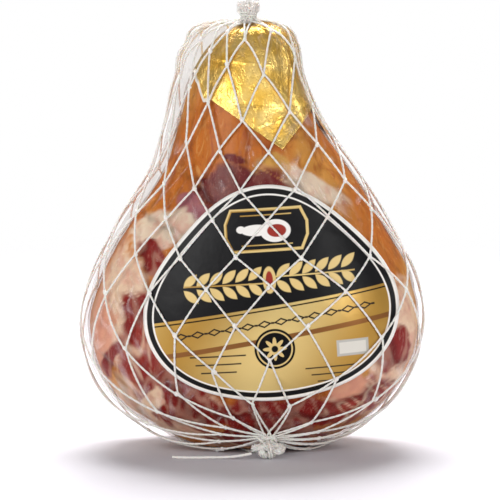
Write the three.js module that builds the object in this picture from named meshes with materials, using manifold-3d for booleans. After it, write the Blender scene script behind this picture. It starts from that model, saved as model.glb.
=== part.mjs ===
// A boned cured ham in its shop wrapping: the pear-shaped ham, a square of gold foil folded over
// its shank, a clear vacuum bag drawn tight around both, a printed label on the bag's front and a
// diamond-mesh net over everything, tied at the top and at the foot.
// Millimetres, +Z up, front towards -Y. It stands on its butt, on the floor plane Z = 0.
import * as THREE from "three";
import { mergeVertices } from "three/addons/utils/BufferGeometryUtils.js";
import Module from "manifold-3d";

// Ham: overall sizes of the meat itself.
const HAM_HEIGHT = 338;
const HAM_WIDTH = 264;
const DEPTH_FRONT = 72; // from the widest line to the front, which is the flatter side
const DEPTH_BACK = 92;
const SQUARENESS = 2.25; // exponent of the cross-section, 2 for an ellipse
// The ham's outline from the foot up: share of the height, share of the half width, share of the
// depth, and how far the section leans to the right.
const STATIONS = [
  [0.0, 0.37, 0.44, 0],
  [0.022, 0.52, 0.58, 0],
  [0.078, 0.75, 0.78, 0],
  [0.165, 0.925, 0.93, 0],
  [0.28, 1.0, 1.0, 0],
  [0.41, 0.923, 0.97, 2],
  [0.52, 0.776, 0.89, 2],
  [0.64, 0.58, 0.77, 3],
  [0.76, 0.424, 0.63, -4],
  [0.87, 0.323, 0.51, -7],
  [0.948, 0.235, 0.37, -1],
  [0.986, 0.13, 0.21, 3],
  [1.0, 0.0, 0.0, 3],
];

// Walls and the clearances between one layer and the next.
const GAP = 0.3;
const FOIL_WALL = 0.4;
const FILM_WALL = 0.5;
const LABEL_WALL = 0.3;
const STRAND = 1.6; // the net's cord, across

// Foil: a square sheet over the shank's end, one corner hanging at the front.
const FOIL_SIDE = 162;
const FOIL_MIDDLE = new THREE.Vector2(5.4, -6.9); // the sheet's middle, from the shank's end
const FOIL_CORNER_DEG = -73; // direction of the front corner, seen from above
const FOIL_FOLD_DEG = -165; // the left corner is turned in along a straight fold
const FOIL_FOLD_REACH = 70; // from the shank's end to that fold

// Bag: how far its welded side seams stand out, at shares of the ham's height.
const LEFT_SEAM = [
  [0.0, 3],
  [0.1, 6],
  [0.28, 4],
  [0.45, 5],
  [0.6, 7],
  [0.74, 8],
  [0.86, 9],
  [0.94, 18],
  [0.985, 27],
  [1.0, 29],
];
const RIGHT_SEAM = [
  [0.0, 1],
  [0.3, 1.5],
  [0.6, 1.5],
  [0.75, 1],
  [0.9, 1],
  [1.0, 2],
];
const SEAM_WALL = 0.6;
const SEAM_ROOM = 2.2; // how far the net's path keeps out past a seam's edge
const NECK_X = -4; // where the bag's mouth and the net are gathered
const NECK_RADIUS = 5;
const NECK_BORE = 3.5;
const NECK_HEIGHT = 13;

// Label: a rounded triangle, point up, turned a little to the left. Its outline is a circle
// with a few waves on it, each a share of the mean radius.
const LABEL_RADIUS = 0.341 * HAM_WIDTH;
const LABEL_X = 14;
const LABEL_Z = 117;
const LABEL_TURN_DEG = 3.5;
const LABEL_TALL = 0.124;
const LABEL_WIDE = 0.086;
const LABEL_CORNERS = 0.051;
const LABEL_SHOULDERS = 0.032;

// Net: a tube of diamond meshes, gathered at both ends.
const MESHES_ROUND = 14;
const MESH_ROWS = 12;
const SHANK_TURN = 0.3; // radians by which a column of knots stands right of the front
const BELLY_TURN = 0.16;
const NET_SLACK = 1.2; // how far a cord clears the label, so that its straight steps pass it
const LOW_CORD = 20; // cords whose middle is lower than this bend round the foot's edge
const FOOT_SLACK = 1.6; // how far the cords under the foot clear the bag
const EDGE_SLACK = 2.6; // how much farther out they run round the foot's edge
const EDGE_RISE = 26; // up to this height above the foot
const ROW_DRIFT = [0, -0.25, -0.24, 0.07, -0.05, 0.07, -0.1, -0.12, -0.28, -0.27, -0.2, 0, 0];
const TURN_DRIFT = 0.02; // radians by which every knot stands further right
const TOP_GATHER_RADIUS = 7.2;
const FOOT_GATHER_RADIUS = 6;
const FOOT_GATHER = new THREE.Vector3(12, -47, 15); // where the net is tied, on the ham
const SHANK_CROWDING = 2.1; // how much the meshes crowd to the sides, 1 being not at all
const BELLY_CROWDING = 1.62;
const FOOT_CROWDING = 2.4;
const COLLAR_WALL = 3.2;
const COLLAR_SIDES = 18;
const COLLAR_START = 0.1; // where its first side starts, so that no side lies along a cord
const NET_SIMPLIFY = 0.01; // slivers thinner than this are removed from the net
const TUFT_HEIGHT = 17; // the gathered net above the ham
const TIE_CORD = 2.8;
const TOP_TIE_RISE = 3.4; // from the collar's foot to the tie's lower side
const FOOT_TIE_RISE = 7.2; // from the collar's start to the tie's middle
const FOOT_COLLAR_LENGTH = 13;
const FOOT_TUFT = new THREE.Vector3(13, 6.5, 6.6); // half sizes of the bunched end
const FOOT_TUFT_FORWARD = 16; // from the foot gather to the bunch's middle

// Tail of the foot's tie, where it lies on the floor.
const TAIL_DIAMETER = 2.4;
const TAIL_ROUTE = [
  [-1.6, -65.0, 4.6],
  [-3.4, -65.1, 4.3],
  [-6.0, -65.2, 3.8],
  [-9.2, -65.2, 3.2],
  [-12.8, -65.1, 2.6],
  [-16.6, -64.9, 2.1],
  [-20.6, -64.6, 1.75],
  [-24.8, -64.2, 1.5],
  [-29.2, -63.9, 1.35],
  [-33.6, -63.8, 1.3],
  [-38.2, -64.0, 1.3],
  [-42.8, -64.4, 1.3],
  [-47.4, -64.7, 1.3],
  [-52.0, -64.7, 1.3],
  [-56.4, -64.2, 1.3],
  [-60.6, -63.2, 1.3],
  [-64.4, -61.9, 1.3],
];

const COLUMNS = 36;
const OVERSIZE = 1.4; // how far a cutting solid reaches past what it cuts
const RINGS_PER_STATION = 2;
const FILM_CLEARANCE = GAP + FOIL_WALL + GAP;
const FILM_OUTSIDE = FILM_CLEARANCE + FILM_WALL;
const LABEL_INSIDE = FILM_OUTSIDE + GAP;
const NET_CENTRE = LABEL_INSIDE + LABEL_WALL + GAP + NET_SLACK + STRAND / 2;
const HAM_FOOT = STRAND + FOOT_SLACK + FILM_OUTSIDE; // the cords under the foot carry the ham
const HAM_TOP = HAM_FOOT + HAM_HEIGHT;

const wasm = await Module();
wasm.setup();

// ---- the ham's surface ----

const station = (row) => new THREE.Vector3(row[1], row[3], HAM_FOOT + row[0] * HAM_HEIGHT);
const widthCurve = new THREE.CatmullRomCurve3(STATIONS.map(station), false, "centripetal");
const depthCurve = new THREE.CatmullRomCurve3(
  STATIONS.map((row) => new THREE.Vector3(row[2], 0, HAM_FOOT + row[0] * HAM_HEIGHT)),
  false,
  "centripetal",
);
const FINE_STEPS = 40 * (STATIONS.length - 1);
const fineWidth = widthCurve.getPoints(FINE_STEPS);
const fineDepth = depthCurve.getPoints(FINE_STEPS);

// Straight-line reading of a fine curve at the height z.
function readAt(points, z, field) {
  let low = 0;
  let high = points.length - 1;
  while (high - low > 1) {
    const middle = (low + high) >> 1;
    if (points[middle].z <= z) low = middle;
    else high = middle;
  }
  const share = THREE.MathUtils.clamp((z - points[low].z) / (points[high].z - points[low].z), 0, 1);
  return THREE.MathUtils.lerp(points[low][field], points[high][field], share);
}

// Straight-line reading of a list of [share of the height, value].
function readShares(list, z) {
  const share = (z - HAM_FOOT) / HAM_HEIGHT;
  for (let i = 1; i < list.length; i++) {
    const [from, to] = [list[i - 1], list[i]];
    if (share <= to[0] || i === list.length - 1) {
      const t = THREE.MathUtils.clamp((share - from[0]) / (to[0] - from[0]), 0, 1);
      return THREE.MathUtils.lerp(from[1], to[1], THREE.MathUtils.smoothstep(t, 0, 1));
    }
  }
  return list[0][1];
}

// The cross-section at the height z: its middle and its reach to each side. With seams it
// reaches out to the bag's side seams, as the net does.
function sectionAt(z, withSeams = false) {
  const half = (readAt(fineWidth, z, "x") * HAM_WIDTH) / 2;
  const depth = readAt(fineDepth, z, "x");
  return {
    middle: readAt(fineWidth, z, "y"),
    left: half + (withSeams ? readShares(LEFT_SEAM, z) + SEAM_ROOM : 0),
    right: half + (withSeams ? readShares(RIGHT_SEAM, z) + SEAM_ROOM : 0),
    front: depth * DEPTH_FRONT,
    back: depth * DEPTH_BACK,
  };
}

// How far out a point lies in its section: 1 on the surface.
function reach(p, withSeams) {
  const s = sectionAt(p.z, withSeams);
  const dx = p.x - s.middle;
  const across = Math.abs(dx) / Math.max(dx < 0 ? s.left : s.right, 1e-3);
  const along = Math.abs(p.y) / Math.max(p.y < 0 ? s.front : s.back, 1e-3);
  return Math.pow(across ** SQUARENESS + along ** SQUARENESS, 1 / SQUARENESS);
}

const DOWN = new THREE.Vector3(0, 0, -1);
const PROBE = 0.2;

// The direction that points straight out of the surface at p.
function outward(p, withSeams = false) {
  const at = (x, y, z) => reach(new THREE.Vector3(p.x + x, p.y + y, p.z + z), withSeams);
  const isLow = p.z < (HAM_FOOT + HAM_TOP) / 2;
  const up = isLow ? at(0, 0, PROBE) - at(0, 0, 0) : at(0, 0, 0) - at(0, 0, -PROBE);
  return new THREE.Vector3(
    at(PROBE, 0, 0) - at(-PROBE, 0, 0),
    at(0, PROBE, 0) - at(0, -PROBE, 0),
    2 * up,
  ).normalize();
}

// A point on the ham at one height and angle.
function hamPoint(z, angle) {
  const s = sectionAt(z);
  const power = (v) => Math.sign(v) * Math.abs(v) ** (2 / SQUARENESS);
  const c = power(Math.cos(angle));
  const d = power(Math.sin(angle));
  return new THREE.Vector3(s.middle + c * (c < 0 ? s.left : s.right), d * (d < 0 ? s.front : s.back), z);
}

// The same point moved straight out by offset. At the foot's edge it also moves down by offset,
// so that the foot stays flat.
function offsetPoint(z, angle, offset) {
  const p = hamPoint(z, angle);
  const n = outward(p);
  if (z < HAM_FOOT + 1e-6) p.addScaledVector(n.setZ(0).normalize(), offset).z -= offset;
  else p.addScaledVector(n, offset);
  return p;
}

// ---- mesh helpers ----

// A closed mesh from rings of equal length, each ring's points in the same turning direction,
// with a point that closes each end.
function ringStack(rings, first, last) {
  const count = rings[0].length;
  const positions = [first, ...rings.flat(), last].flatMap((p) => [p.x, p.y, p.z]);
  const at = (ring, i) => 1 + ring * count + (i % count);
  const end = 1 + rings.length * count;
  const index = [];
  for (let i = 0; i < count; i++) {
    index.push(0, at(0, i + 1), at(0, i));
    index.push(end, at(rings.length - 1, i), at(rings.length - 1, i + 1));
    for (let r = 0; r + 1 < rings.length; r++) {
      index.push(at(r, i), at(r, i + 1), at(r + 1, i + 1));
      index.push(at(r, i), at(r + 1, i + 1), at(r + 1, i));
    }
  }
  return new THREE.BufferGeometry()
    .setAttribute("position", new THREE.Float32BufferAttribute(positions, 3))
    .setIndex(index);
}

function solidOf(geometry) {
  const bare = new THREE.BufferGeometry().setAttribute("position", geometry.getAttribute("position"));
  const merged = mergeVertices(bare.setIndex(geometry.getIndex()), 1e-4);
  return new wasm.Manifold(
    new wasm.Mesh({
      numProp: 3,
      vertProperties: new Float32Array(merged.attributes.position.array),
      triVerts: new Uint32Array(merged.index.array),
    }),
  );
}

function geometryOf(solid) {
  const mesh = solid.getMesh();
  return new THREE.BufferGeometry()
    .setAttribute("position", new THREE.BufferAttribute(new Float32Array(mesh.vertProperties), 3))
    .setIndex(new THREE.BufferAttribute(new Uint32Array(mesh.triVerts), 1));
}

const angles = Array.from({ length: COLUMNS }, (_, i) => (2 * Math.PI * i) / COLUMNS);
const LEVELS = widthCurve.getPoints(RINGS_PER_STATION * (STATIONS.length - 1)).map((p) => p.z);
const HAM_LEVELS = LEVELS.slice(0, -1); // the last level is the top point
const topMiddle = sectionAt(HAM_TOP).middle;

// The ham's skin moved out by offset, as a closed solid.
function hamShell(offset) {
  const rings = HAM_LEVELS.map((z) => angles.map((angle) => offsetPoint(z, angle, offset)));
  return ringStack(
    rings,
    new THREE.Vector3(0, 0, HAM_FOOT - offset),
    new THREE.Vector3(topMiddle, 0, HAM_TOP + offset),
  );
}

// ---- the pieces ----

// How far the foil reaches from the shank's end in one direction, measured over the surface.
function foilReach(angle) {
  const ray = new THREE.Vector2(Math.cos(angle), Math.sin(angle));
  const reaches = [1, 3, 5, 7].map((eighth) => {
    const side = THREE.MathUtils.degToRad(FOIL_CORNER_DEG) + (eighth * Math.PI) / 4;
    const facing = new THREE.Vector2(Math.cos(side), Math.sin(side));
    const along = ray.dot(facing);
    return along > 0 ? (FOIL_SIDE / 2 + FOIL_MIDDLE.dot(facing)) / along : Infinity;
  });
  const toFold = Math.cos(angle - THREE.MathUtils.degToRad(FOIL_FOLD_DEG));
  return Math.min(...reaches, toFold > 0 ? FOIL_FOLD_REACH / toFold : Infinity);
}

// The height at which a path of that length from the shank's end stops.
function foilEdgeHeight(angle) {
  const STEP = 2;
  let left = foilReach(angle);
  let from = new THREE.Vector3(topMiddle, 0, HAM_TOP);
  let z = HAM_TOP - STEP / 4;
  for (; left > 0; z -= z > HAM_TOP - 4 * STEP ? STEP / 4 : STEP) {
    const to = hamPoint(z, angle);
    left -= to.distanceTo(from);
    from = to;
  }
  return z;
}

// The layer between two offsets of the ham's skin.
const layer = (inside, outside) => solidOf(hamShell(outside)).subtract(solidOf(hamShell(inside)));

// Everything above the foil's edge.
function foilRegion() {
  const edge = (share) =>
    angles.map((angle) => {
      const p = hamPoint(foilEdgeHeight(angle), angle);
      return new THREE.Vector3(p.x * share, p.y * share, p.z);
    });
  const lid = angles.map((angle) => {
    const p = hamPoint(foilEdgeHeight(angle), angle).multiplyScalar(OVERSIZE);
    return p.setZ(HAM_TOP + HAM_WIDTH);
  });
  return ringStack(
    [edge(1 / OVERSIZE), edge(OVERSIZE), lid],
    new THREE.Vector3(0, 0, foilEdgeHeight(0)),
    new THREE.Vector3(0, 0, HAM_TOP + HAM_WIDTH),
  );
}

function foilGeometry() {
  return geometryOf(layer(GAP, GAP + FOIL_WALL).intersect(solidOf(foilRegion())));
}

// One welded side seam: a thin upright sheet from the ham's middle out to the seam's edge.
function seamGeometry(list, side) {
  const SEAM_STEPS = 16;
  const shape = new THREE.Shape();
  const bottom = HAM_FOOT + 0.03 * HAM_HEIGHT;
  const top = HAM_TOP + FILM_OUTSIDE / 2;
  shape.moveTo(0, bottom);
  for (let i = 0; i <= SEAM_STEPS; i++) {
    const z = THREE.MathUtils.lerp(bottom, top, i / SEAM_STEPS);
    const s = sectionAt(Math.min(z, HAM_TOP));
    shape.lineTo(s.middle + side * (s.left + readShares(list, z)), z);
  }
  shape.lineTo(NECK_X, top);
  return new THREE.ExtrudeGeometry(shape, { depth: SEAM_WALL, bevelEnabled: false })
    .translate(0, 0, -SEAM_WALL / 2)
    .rotateX(Math.PI / 2);
}

const upright = (radius, bottom, top) =>
  new THREE.CylinderGeometry(radius, radius, top - bottom, 16)
    .rotateX(Math.PI / 2)
    .translate(NECK_X, 0, (bottom + top) / 2);

function bagGeometry() {
  const neck = solidOf(upright(NECK_RADIUS, HAM_TOP - 2, HAM_TOP + NECK_HEIGHT));
  const bore = solidOf(upright(NECK_BORE, HAM_TOP - 2, HAM_TOP + NECK_HEIGHT + 1));
  return geometryOf(
    solidOf(hamShell(FILM_OUTSIDE))
      .add(solidOf(seamGeometry(LEFT_SEAM, -1)))
      .add(solidOf(seamGeometry(RIGHT_SEAM, 1)))
      .add(neck)
      .subtract(solidOf(hamShell(FILM_CLEARANCE)))
      .subtract(bore),
  );
}

// The label's outline about its own middle.
function labelOutline(angle) {
  const waves =
    LABEL_TALL * Math.sin(angle) +
    LABEL_WIDE * Math.cos(2 * angle) -
    LABEL_CORNERS * Math.sin(3 * angle) +
    LABEL_SHOULDERS * Math.cos(4 * angle);
  const radius = LABEL_RADIUS * (1 + waves);
  return new THREE.Vector2(Math.cos(angle), Math.sin(angle)).multiplyScalar(radius);
}

function labelGeometry() {
  const LABEL_POINTS = 40;
  const turn = (2 * Math.PI) / LABEL_POINTS;
  const outline = new THREE.Shape(
    Array.from({ length: LABEL_POINTS }, (_, i) => labelOutline(turn * i)),
  );
  const region = new THREE.ExtrudeGeometry(outline, { depth: HAM_WIDTH, bevelEnabled: false })
    .rotateZ(THREE.MathUtils.degToRad(LABEL_TURN_DEG))
    .rotateX(Math.PI / 2)
    .translate(LABEL_X, 0, LABEL_Z);
  return geometryOf(layer(LABEL_INSIDE, LABEL_INSIDE + LABEL_WALL).intersect(solidOf(region)));
}

// ---- the net ----

const HEART = new THREE.Vector3(0, 0, 110); // inside the ham, where every direction starts

// The point where a direction from the heart leaves the ham and its seams, and the way out there.
function cast(direction) {
  const HALVINGS = 26;
  let inside = 0;
  let outside = HAM_HEIGHT;
  const at = (r) => HEART.clone().addScaledVector(direction, r);
  for (let i = 0; i < HALVINGS; i++) {
    const middle = (inside + outside) / 2;
    const p = at(middle);
    const isIn = p.z > HAM_FOOT && p.z < HAM_TOP && reach(p, true) < 1;
    if (isIn) inside = middle;
    else outside = middle;
  }
  const point = at(inside);
  if (point.z < HAM_FOOT + 0.01) return { point, normal: DOWN.clone() };
  if (point.z > HAM_TOP - 0.01) return { point, normal: DOWN.clone().negate() };
  return { point, normal: outward(point, true) };
}

const topPole = new THREE.Vector3(NECK_X, 0, HAM_TOP).sub(HEART).normalize();
const footPole = FOOT_GATHER.clone().sub(HEART).normalize();

// A direction at the polar angle phi and the turn psi from the front, with the axis bent so that
// it starts at the top gather and ends at the foot gather.
function netDirection(phi, psi) {
  const d = new THREE.Vector3(
    Math.sin(phi) * Math.sin(psi),
    -Math.sin(phi) * Math.cos(psi),
    Math.cos(phi),
  );
  const bend = THREE.MathUtils.smoothstep(phi, Math.PI / 3, Math.PI);
  const foot = new THREE.Quaternion().setFromUnitVectors(DOWN, footPole);
  const top = new THREE.Quaternion().setFromUnitVectors(new THREE.Vector3(0, 0, 1), topPole);
  d.applyQuaternion(new THREE.Quaternion().slerp(top, 1 - bend));
  return d.applyQuaternion(new THREE.Quaternion().slerp(foot, bend));
}

// Polar angles of the rows, evenly spaced over the front of the ham.
function rowAngles() {
  const STEPS = 400;
  const lengths = [0];
  let from = cast(netDirection(0, 0)).point;
  for (let i = 1; i <= STEPS; i++) {
    const to = cast(netDirection((Math.PI * i) / STEPS, 0)).point;
    lengths.push(lengths[i - 1] + to.distanceTo(from));
    from = to;
  }
  const total = lengths[STEPS] - TOP_GATHER_RADIUS - FOOT_GATHER_RADIUS;
  return (row) => {
    const wanted = TOP_GATHER_RADIUS + (total * row) / MESH_ROWS;
    let i = 1;
    while (i < STEPS && lengths[i] < wanted) i++;
    const t = (wanted - lengths[i - 1]) / (lengths[i] - lengths[i - 1]);
    return (Math.PI * (i - 1 + t)) / STEPS;
  };
}
const phiOfRow = rowAngles();

// The turn from the front of a column at a row.
function turnOf(row, column) {
  const even = (2 * Math.PI * column) / MESHES_ROUND;
  const share = row / MESH_ROWS;
  const toBelly = THREE.MathUtils.smoothstep(share, 0.15, 0.5);
  const toFoot = THREE.MathUtils.smoothstep(share, 0.68, 1);
  const upper = THREE.MathUtils.lerp(SHANK_CROWDING, BELLY_CROWDING, toBelly);
  const crowding = THREE.MathUtils.lerp(upper, FOOT_CROWDING, toFoot);
  const turn = THREE.MathUtils.lerp(SHANK_TURN, BELLY_TURN, toBelly);
  return Math.atan2(crowding * Math.sin(even), Math.cos(even)) + turn;
}

// How far each row of knots has slipped down from even spacing, as a part of a mesh.
function slipOf(row) {
  const first = THREE.MathUtils.clamp(Math.floor(row), 0, MESH_ROWS - 1);
  const share = THREE.MathUtils.clamp(row - first, 0, 1);
  return THREE.MathUtils.lerp(ROW_DRIFT[first], ROW_DRIFT[first + 1], share);
}

// A place on the net: row counts from the top, column round the ham, and either may be a
// fraction.
function netPlace(row, column) {
  const psi = turnOf(row, column) + TURN_DRIFT;
  const { point, normal } = cast(netDirection(phiOfRow(row + slipOf(row)), psi));
  const rise = point.z - HAM_FOOT;
  const slack = EDGE_SLACK * (1 - THREE.MathUtils.smoothstep(rise, 0, EDGE_RISE));
  const centre = point.addScaledVector(normal, NET_CENTRE + slack);
  centre.z = Math.max(centre.z, STRAND / 2);
  return { centre, normal };
}

const onFloor = (p) => p.setZ(Math.max(p.z, 0));

const ROW_PROBE = 0.4; // parts of a mesh over which a knot's slope is measured
const COLUMN_PROBE = 0.2;
const LEAST_HALF_KNOT = 0.4; // of the cord's width
const NEAR_SIDE = 0.8; // sine of the turn past which the ham bends away to its side
const AHEAD = 0.05; // part of a mesh that gives a cord its direction

// How many straight steps a cord takes to follow the ham.
function cordSteps(row, column, side) {
  if (netPlace(row + 0.5, column + side / 4).centre.z < LOW_CORD) return 6;
  const atSide = Math.abs(Math.sin(turnOf(row, column))) > NEAR_SIDE;
  return row < 2 || row >= MESH_ROWS - 3 || atSide ? 3 : 2;
}

// The net's cords as one closed mesh. A knot is a small four-sided block with a corner up, right,
// down and left, and a cord of square section runs from the face between two corners to the
// facing face of the next knot.
function netGeometry() {
  const vertices = [];
  const index = [];
  const knots = [];
  const put = (p) => vertices.push(onFloor(p)) - 1;
  const quad = (a, b, c, d) => index.push(a, b, c, a, c, d);
  // Inner and outer vertex of one edge of a cord.
  const edge = (p, normal) => [
    put(p.clone().addScaledVector(normal, -STRAND / 2)),
    put(p.clone().addScaledVector(normal, STRAND / 2)),
  ];
  for (let row = 0; row <= MESH_ROWS; row++) {
    knots.push([]);
    for (let k = 0; k < MESHES_ROUND; k++) {
      const column = k + (row % 2) / 2;
      const { centre, normal } = netPlace(row, column);
      const [above, below] = [Math.max(row - ROW_PROBE, 0), Math.min(row + ROW_PROBE, MESH_ROWS)];
      const down = netPlace(below, column).centre.sub(netPlace(above, column).centre);
      const left = netPlace(row, column - COLUMN_PROBE).centre;
      const across = netPlace(row, column + COLUMN_PROBE).centre.sub(left);
      const width = across.length() / (2 * COLUMN_PROBE);
      const steepness = Math.atan2(width, down.length() / (below - above));
      const halfKnot = (share) => STRAND * Math.max(share, LEAST_HALF_KNOT);
      const halfAcross = Math.min(halfKnot(Math.cos(steepness)), 2 * COLUMN_PROBE * width);
      const halfDown = halfKnot(Math.sin(steepness));
      across.normalize();
      down.addScaledVector(normal, -down.dot(normal)).normalize();
      const corner = (direction, length) => edge(centre.clone().addScaledVector(direction, length), normal);
      knots[row].push({
        up: corner(down, -halfDown),
        right: corner(across, halfAcross),
        down: corner(down, halfDown),
        left: corner(across, -halfAcross),
      });
      const knot = knots[row][k];
      quad(knot.up[1], knot.left[1], knot.down[1], knot.right[1]);
      quad(knot.up[0], knot.right[0], knot.down[0], knot.left[0]);
    }
  }
  // A cord between two edges at each end, in steps that follow the ham.
  const cord = (row, column, side, from, to) => {
    const steps = cordSteps(row, column, side);
    let last = from;
    for (let i = 1; i <= steps; i++) {
      let next = to;
      if (i < steps) {
        const t = i / steps;
        const { centre, normal } = netPlace(row + t, column + (side * t) / 2);
        const ahead = netPlace(row + t + AHEAD, column + (side * (t + AHEAD)) / 2).centre;
        const aside = ahead.sub(centre).cross(normal).normalize().multiplyScalar(STRAND / 2);
        next = [edge(centre.clone().add(aside), normal), edge(centre.clone().sub(aside), normal)];
      }
      const [[a0, a1], [b0, b1]] = last;
      const [[c0, c1], [d0, d1]] = next;
      quad(a1, c1, d1, b1);
      quad(b1, d1, d0, b0);
      quad(a0, b0, d0, c0);
      quad(a0, c0, c1, a1);
      last = next;
    }
  };
  for (let row = 0; row < MESH_ROWS; row++)
    for (let k = 0; k < MESHES_ROUND; k++) {
      const column = k + (row % 2) / 2;
      const knot = knots[row][k];
      const toRight = knots[row + 1][(k + (row % 2)) % MESHES_ROUND];
      const toLeft = knots[row + 1][(k - 1 + (row % 2) + MESHES_ROUND) % MESHES_ROUND];
      cord(row, column, 1, [knot.down, knot.right], [toRight.left, toRight.up]);
      cord(row, column, -1, [knot.left, knot.down], [toLeft.up, toLeft.right]);
    }
  // The knots' free sides at both ends of the net.
  const close = (row, from, middle, to) =>
    knots[row].forEach((knot) => {
      quad(knot[from][0], knot[from][1], knot[middle][1], knot[middle][0]);
      quad(knot[middle][0], knot[middle][1], knot[to][1], knot[to][0]);
    });
  close(0, "left", "up", "right");
  close(MESH_ROWS, "right", "down", "left");
  const positions = vertices.flatMap((p) => [p.x, p.y, p.z]);
  return new THREE.BufferGeometry()
    .setAttribute("position", new THREE.Float32BufferAttribute(positions, 3))
    .setIndex(index);
}

const foot = cast(footPole);
const footOut = foot.normal;
const alongFoot = (distance) => foot.point.clone().addScaledVector(footOut, distance);
const collarInside = NECK_RADIUS + GAP;
const collarOutside = collarInside + COLLAR_WALL;
const collarFoot = HAM_TOP + FILM_OUTSIDE + GAP;

// The gathered net round the bag's neck, flaring into a tuft above its tie.
function topCollar() {
  const profile = [
    [collarInside, collarFoot],
    [collarOutside, collarFoot],
    [collarOutside, collarFoot + 8],
    [collarOutside + 1.6, HAM_TOP + TUFT_HEIGHT - 2.5],
    [collarOutside - 0.8, HAM_TOP + TUFT_HEIGHT],
    [collarInside, HAM_TOP + TUFT_HEIGHT - 2],
    [collarInside, collarFoot],
  ].map(([x, y]) => new THREE.Vector2(x, y));
  return new THREE.LatheGeometry(profile, COLLAR_SIDES, COLLAR_START)
    .rotateX(Math.PI / 2)
    .translate(NECK_X, 0, 0);
}

const pointing = (geometry, direction, at) =>
  geometry
    .applyQuaternion(new THREE.Quaternion().setFromUnitVectors(new THREE.Vector3(0, 1, 0), direction))
    .translate(at.x, at.y, at.z);

const FOOT_COLLAR_START = FILM_OUTSIDE + 2 * GAP;
const footCollarRadius = FOOT_GATHER_RADIUS + STRAND / 2;
const footTuftCentre = new THREE.Vector3(
  foot.point.x,
  foot.point.y - FOOT_TUFT_FORWARD,
  FOOT_TUFT.z,
);

function footBunch() {
  const collar = pointing(
    new THREE.CylinderGeometry(footCollarRadius - 1, footCollarRadius, FOOT_COLLAR_LENGTH, 14),
    footOut,
    alongFoot(FOOT_COLLAR_START + FOOT_COLLAR_LENGTH / 2),
  );
  const tuft = new THREE.IcosahedronGeometry(1, 2)
    .scale(FOOT_TUFT.x, FOOT_TUFT.y, FOOT_TUFT.z)
    .translate(footTuftCentre.x, footTuftCentre.y, footTuftCentre.z);
  return [collar, tuft];
}

function wholeNet() {
  return geometryOf(
    [topCollar(), ...footBunch()]
      .reduce((all, piece) => all.add(solidOf(piece)), solidOf(netGeometry()))
      .simplify(NET_SIMPLIFY),
  );
}

const tieRing = (inner, cord) => new THREE.TorusGeometry(inner + GAP + cord / 2, cord / 2, 8, 20);

function tailGeometry() {
  const route = new THREE.CatmullRomCurve3(TAIL_ROUTE.map((p) => new THREE.Vector3(...p)));
  const TAIL_SIDES = 8;
  const section = new THREE.Shape(
    Array.from({ length: TAIL_SIDES }, (_, i) => {
      const angle = (2 * Math.PI * (i + 0.5)) / TAIL_SIDES;
      return new THREE.Vector2(Math.cos(angle), Math.sin(angle)).multiplyScalar(TAIL_DIAMETER / 2);
    }),
  );
  return new THREE.ExtrudeGeometry(section, { steps: TAIL_ROUTE.length - 1, extrudePath: route });
}

// ---- the assembly ----

const paint = (color, roughness, metalness = 0, extra = {}) =>
  new THREE.MeshStandardMaterial({ color, roughness, metalness, ...extra });
const cotton = paint("#f1eee8", 0.85);
const wrapping = new THREE.Group();

function place(name, geometry, material) {
  geometry.computeVertexNormals();
  const mesh = new THREE.Mesh(geometry, material);
  mesh.name = name;
  wrapping.add(mesh);
  return mesh;
}

place("ham", hamShell(0), paint("#9c4a34", 0.5));
place("gold_foil", foilGeometry(), paint("#e3ac3c", 0.25, 1));
place("vacuum_bag", bagGeometry(), paint("#f4eeea", 0.15, 0, { transparent: true, opacity: 0.25 }));
place("label", labelGeometry(), paint("#1b191d", 0.35));
place("net", wholeNet(), cotton);
const topTie = tieRing(collarOutside, TIE_CORD);
place("top_tie", topTie.translate(NECK_X, 0, collarFoot + TOP_TIE_RISE + TIE_CORD / 2), cotton);
const footTie = tieRing(footCollarRadius, TIE_CORD).rotateX(Math.PI / 2);
place("foot_tie", pointing(footTie, footOut, alongFoot(FOOT_COLLAR_START + FOOT_TIE_RISE)), cotton);

// Everything but the loose tail is centred over the origin.
const box = new THREE.Box3().setFromObject(wrapping);
place("tail_cord", tailGeometry(), cotton);
wrapping.position.set(-(box.min.x + box.max.x) / 2, -(box.min.y + box.max.y) / 2, 0);

const assembly = new THREE.Group();
assembly.add(wrapping);
export default assembly;
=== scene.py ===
"""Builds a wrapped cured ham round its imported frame: meat, foil, film, label and net."""

import math
from itertools import product

import bpy
import numpy as np
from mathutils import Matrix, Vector


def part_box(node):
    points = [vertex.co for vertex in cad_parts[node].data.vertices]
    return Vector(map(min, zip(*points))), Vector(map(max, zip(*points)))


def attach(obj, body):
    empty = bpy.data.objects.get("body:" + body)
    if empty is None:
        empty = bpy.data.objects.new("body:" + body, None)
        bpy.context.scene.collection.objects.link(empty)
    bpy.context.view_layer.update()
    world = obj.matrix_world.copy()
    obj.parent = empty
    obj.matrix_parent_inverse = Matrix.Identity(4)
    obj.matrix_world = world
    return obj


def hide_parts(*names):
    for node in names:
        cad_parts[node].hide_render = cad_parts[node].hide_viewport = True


bl_info = {
    "name": "Wrapped cured ham",
    "version": (1, 0, 0),
    "blender": (4, 5, 0),
    "location": "3D View > Sidebar > Ham",
    "description": "Builds the meat, foil, film, label, net and ties of a cured ham",
    "category": "Object",
}

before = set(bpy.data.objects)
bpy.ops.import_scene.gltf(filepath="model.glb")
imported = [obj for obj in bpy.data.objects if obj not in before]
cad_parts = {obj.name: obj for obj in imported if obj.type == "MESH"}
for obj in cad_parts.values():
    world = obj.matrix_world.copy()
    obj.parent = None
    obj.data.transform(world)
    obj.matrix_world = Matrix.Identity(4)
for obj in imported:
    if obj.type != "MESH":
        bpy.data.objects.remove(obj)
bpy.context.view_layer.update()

# Sizes below are millimetres in the ham's own frame; MM turns them into metres.
MM = 0.001
SHAPE_POWER = 2.25
DEPTH_FRONT = 72
DEPTH_BACK = 92
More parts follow.
